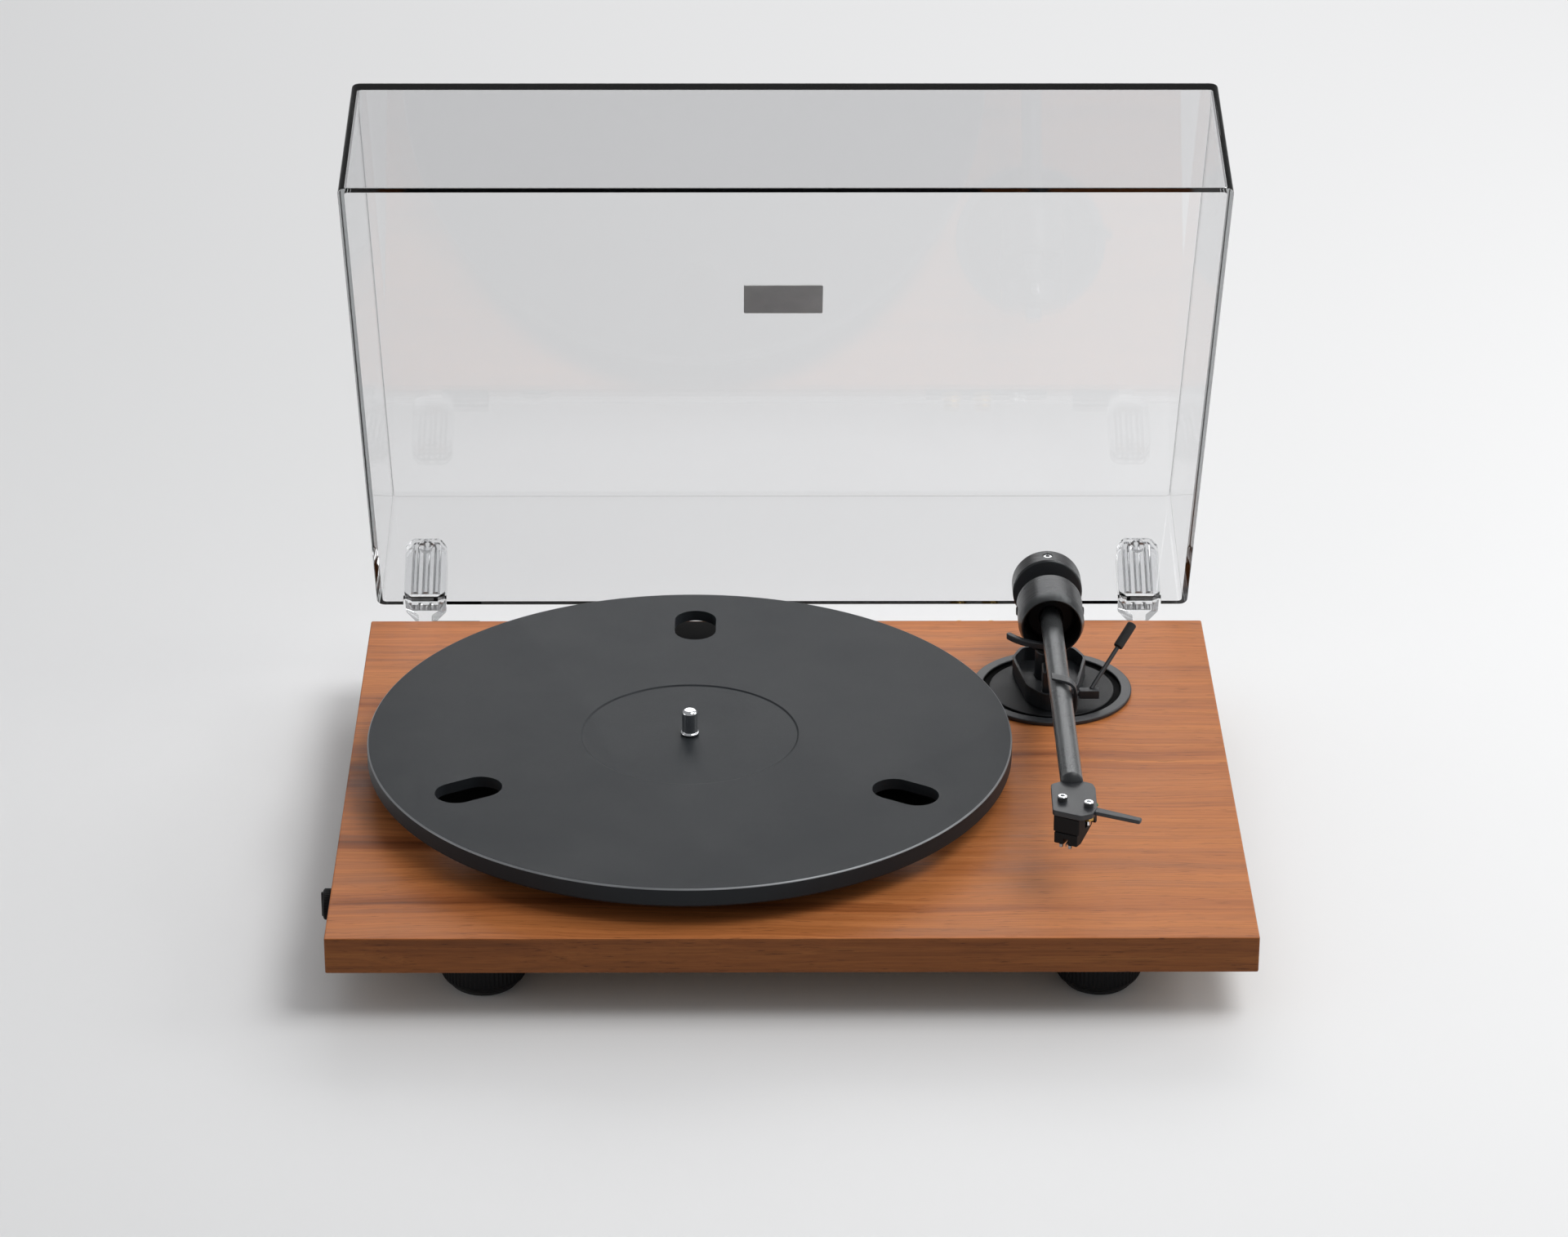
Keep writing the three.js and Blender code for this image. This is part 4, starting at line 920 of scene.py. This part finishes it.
def lid():
    height, wall = LID["height"], LID["wall"]
    rear = LID["depth"] / 2
    notches = [
        block((side * HINGE["x"] - 10.7, rear - 6, -1), (side * HINGE["x"] + 10.7, rear + 2, 3.5), 0)
        for side in (-1, 1)
    ]
    shell = cut(hood(0, 0, height, 4.5, 0.5), hood(wall, -5, height - wall, 2.0, 0.4), *notches)
    # Painted shade: the lid's bottom edge faces take the dark tint.
    rim = lambda centre, normal: normal.z < -0.9 and centre.z < LID["rim"] + 0.3
    piece("lid", shifted(shell, 0, 0, LID["rim"]), LID_PLACE, soften=0.3, angle=50, extra=[(LID_EDGE_SHADE, rim)])
    top, line = LID["rim"] + height, BADGE["line"]
    badge = prism(rectangle(BADGE["width"], BADGE["depth"], 1), top + GAP, top + 1.1, 0.2)
    strip = lambda centre, normal: centre.y < line
    face = lambda centre, normal: centre.y >= line
    badge = cut(badge, block((-17.5, line - 0.1, top + 1.0), (17.5, line + 0.1, top + 2), 0))
    here = LID_PLACE @ Matrix.Translation((0, rear - BADGE["from_rear"], 0))
    piece("lid_badge", badge, here, extra=[(BADGE_STRIP, strip), (BADGE_FACE, face)])


def hinges():
    wall_out = lambda z: LID["depth"] / 2 - lean(z)
    top, slot_bottom, bottom = 37.5, LID["rim"] + 3.1, LID["rim"] + 0.3
    wall, rear = LID["wall"], REAR + 0.7
    y, z, boss = HINGE["y"], HINGE["z"], HINGE["boss"]
    profile = [(wall_out(bottom) - wall - 3.4, bottom), (rear, bottom), (rear, z + 1)]
    profile += arc(y, z, boss, 180, 360, 16)
    profile += [(y + boss, -2), (163.6, 7), (161.6, top - 3), (160, top), (wall_out(top) + 0.4, top)]
    profile += [(wall_out(slot_bottom) + 0.4, slot_bottom), (wall_out(slot_bottom) - wall - 0.4, slot_bottom)]
    wall_in = wall_out(top) - wall
    profile += [(wall_in - 0.4, top), (wall_in - 2, top), (wall_in - 3.4, top - 2)]
    facets = [(3.2, -16), (3.2, -1.5), (10.2, 4.4), (10.2, 31.5), (6, 37.5)]
    facets += [(-x, height) for x, height in reversed(facets)]
    for side, name in ((-1, "left"), (1, "right")):
        front = moved(prism(rounded(facets, 0.8, 3), 0, 40, 0), Matrix.Translation((0, 180, 0)) @ FORWARD)
        pin = shifted(moved(rod(HINGE["pin"], 0, 26, 64, 0.3), TO_X if side < 0 else TO_LEFT), 0, y, z)
        bores = [shifted(rod(1.9, 8, top + 2, 48, 0), x, 158.4) for x in (-5.4, 0, 5.4)]
        button = shifted(moved(rod(3.6, -0.9, 2, 64, 0.3), FORWARD), 0, wall_out(31) - wall - 3.4, 31)
        shape = join(cut(common(profiled(profile, -12, 12, 0), front), *bores), pin, button)
        shape = shifted(shape, side * HINGE["x"])
        piece(f"lid_hinge_{name}", shape, LID_PLACE, soften=0.5, angle=30)
        bracket(side, f"hinge_bracket_{name}")


def bracket(side, name):
    near, far = HINGE["neck"] + 0.6, 27
    y, z = HINGE["y"], HINGE["z"]
    plane = REAR + 0.3 - y
    shape = join(
        moved(rod(5.3, near, far, 96, 0), TO_X),
        block((near, plane, -5.3), (far, 0, 5.3), 0),
        block((near, plane, -8.6), (far, plane + 1.6, 5.3), 0),
    )
    bore = moved(rod(HINGE["pin"] + 0.3, 0, 40, 64, 0), TO_X)
    shape = cut(shape, bore, block((0, -20, -20), (40, plane, 20), 0))
    if side > 0:
        shape = shifted(shape, -near - far)
    piece(name, shifted(shape, LID["x"] + side * HINGE["x"], y, z), DECK, soften=0.4)


# ---------------------------------------------------------------- knob and rear connections
def knob():
    centre = middle("speed_knob")
    face, back, shaft_end = HALF_WIDTH + 3.9, HALF_WIDTH + GAP, HALF_WIDTH - 16
    body = lathe(
        [
            (0, face), (6.4, face), (7.1, face - 0.7), (7.1, back), (2.4, back), (2.4, shaft_end),
            (0, shaft_end),
        ],
        180, 0.5, 36, 0.3, (HALF_WIDTH + 0.7, face - 0.9),
    )
    grip = block((-1, -5.9, face - 0.5), (1, 5.9, face + 0.9), 0.5, 3)
    here = Matrix.Translation((plinth_middle.x, centre.y, centre.z))
    grip.transform(Matrix.Rotation(math.pi / 2, 4, "Z"))
    piece("speed_knob", moved(join(body, grip), TO_LEFT), here, soften=0.1)


def connections():
    panel = middle("terminal_panel")
    here = Matrix.Translation((panel.x, plinth_high.y, panel.z)) @ REARWARD
    plate = prism(rectangle(62, 14, 2), 0.3, 2.1, 0.3)
    holes = [shifted(rod(4.1, -1, 4, 64, 0), x) for x in (-18, -2)] + [shifted(rod(2.4, -1, 4, 48, 0), 16)]
    recesses = [shifted(rod(2.2, 1.6, 4, 40, 0), x, 0) for x in (-27, 27)]
    piece("terminal_panel", cut(plate, *holes, *recesses), here, soften=0.1)
    for x, name, ring in ((-18, "jack_left", "wire_white"), (-2, "jack_right", "wire_red")):
        shape = lathe(
            [
                (0, -9), (3.8, -9), (3.8, 2.3), (5.2, 2.3), (5.2, 3.4), (4.1, 3.7), (4.1, 9.6), (3.2, 9.6),
                (3.2, 1.5), (2.6, 1.5), (2.6, 9), (1.7, 9), (1.7, 0.5), (0, 0.5),
            ],
            72, 0.25,
        )
        insulator = lambda centre, normal: 0.3 < centre.z < 9.5 and math.hypot(centre.x, centre.y) < 3.1
        place = here @ Matrix.Translation((x, 0, 0))
        piece(name, shape, place, extra=[(MATERIALS[ring], insulator)])
    post = lathe(
        [(0, -8), (2.1, -8), (2.1, 3), (4.4, 3), (4.4, 6.6), (3.6, 7.4), (0, 7.4)],
        144, 0.25, 24, 0.35, (3.2, 6.7),
    )
    piece("ground_post", post, here @ Matrix.Translation((16, 0, 0)))
    power = middle("power_socket")
    socket = lathe(
        [
            (0, -11), (5.6, -11), (5.6, 0.3), (8, 0.3), (8, 1.5), (3.3, 1.5), (3.3, -9), (1, -9),
            (1, -0.5), (0, -0.5),
        ],
        96, 0.3,
    )
    contact = lambda centre, normal: math.hypot(centre.x, centre.y) < 1.2 and centre.z > -8.9
    there = Matrix.Translation((power.x, plinth_high.y, power.z)) @ REARWARD
    piece("power_socket", socket, there, extra=[(MATERIALS["polished_steel"], contact)])


# ---------------------------------------------------------------- under the plinth
def bottom_cover():
    low, high = corners("bottom_cover")
    size = high - low
    middle_x, middle_y = (low.x + high.x) / 2, (low.y + high.y) / 2
    outer = prism(rectangle(size.x, size.y, 6), 0, size.z, 0.8, 3)
    inner = prism(rectangle(size.x - 4, size.y - 4, 4.5), 2, size.z + 5, 0)
    vents = [block((x - 1, -14, -2), (x + 1, 14, 4), 0) for x in range(-28, 29, 8)]
    here = Matrix.Translation((middle_x, middle_y, low.z))
    piece("bottom_cover", cut(outer, inner, *vents), here, soften=0.2)


# ---------------------------------------------------------------- stage
def area_light(name, place, target, size, power, colour=(1, 1, 1)):
    data = bpy.data.lights.new(name, "AREA")
    data.shape = "RECTANGLE"
    data.size, data.size_y = size
    data.energy = power
    data.color = colour
    obj = bpy.data.objects.new(name, data)
    obj.location = place
    obj.rotation_euler = (Vector(target) - Vector(place)).to_track_quat("-Z", "Y").to_euler()
    bpy.context.scene.collection.objects.link(obj)


def stage():
    floor_material = Surface("floor", (0.8, 0.8, 0.8), 0.6, Specular_IOR_Level=0.2).material
    bm = bmesh.new()
    bmesh.ops.create_grid(bm, x_segments=8, y_segments=8, size=6)
    floor = temporary(to_mesh(bm))
    floor.name = "floor"
    floor.data.materials.append(floor_material)
    world = bpy.data.worlds.new("studio")
    world.use_nodes = True
    background = world.node_tree.nodes["Background"]
    background.inputs["Color"].default_value = (0.97, 0.98, 1.0, 1)
    background.inputs["Strength"].default_value = 0.38
    bpy.context.scene.world = world
    area_light("overhead", (0.8, -0.3, 1.6), (0.05, 0, 0), (1.2, 0.8), 15)
    area_light("back_panel", (0.45, 1.9, 1.2), (0, 0, 0), (2.4, 0.9), 16)
    area_light("right_panel", (1.5, 0.2, 0.7), (0, 0, 0.05), (0.9, 0.7), 7)
    area_light("left_panel", (-1.5, -0.2, 0.22), (0, 0, 0.05), (0.8, 0.3), 3)
    bpy.context.scene.view_settings.view_transform = "Standard"


def camera():
    pitch, yaw, roll = math.radians(25.91), math.radians(0.50), math.radians(-0.16)
    forward = Vector((math.sin(yaw) * math.cos(pitch), math.cos(yaw) * math.cos(pitch), -math.sin(pitch)))
    level = Vector((math.cos(yaw), -math.sin(yaw), 0))
    down = forward.cross(level)
    right = math.cos(roll) * level + math.sin(roll) * down
    under = math.cos(roll) * down - math.sin(roll) * level
    turn = Matrix((right, -under, -forward)).transposed().to_4x4()
    data = bpy.data.cameras.new("camera")
    data.sensor_width = 36
    data.lens = 116.7
    data.clip_start, data.clip_end = 0.05, 50
    obj = bpy.data.objects.new("camera", data)
    obj.matrix_world = Matrix.Translation(ROW @ (DECK @ Vector((-21.0, -2106.6, 1102.1)))) @ turn
    bpy.context.scene.collection.objects.link(obj)
    bpy.context.scene.camera = obj


# ---------------------------------------------------------------- everything, in order
camera()
stage()
feet()
platter()
spindle()
base_discs()
bearing_shield()
arm_column()
arm_rest()
lift_bar()
cue_lever()
yoke()
arm_tube()
headshell()
cartridge()
mount_screws()
leads()
counterweight()
lid()
hinges()
knob()
connections()
bottom_cover()
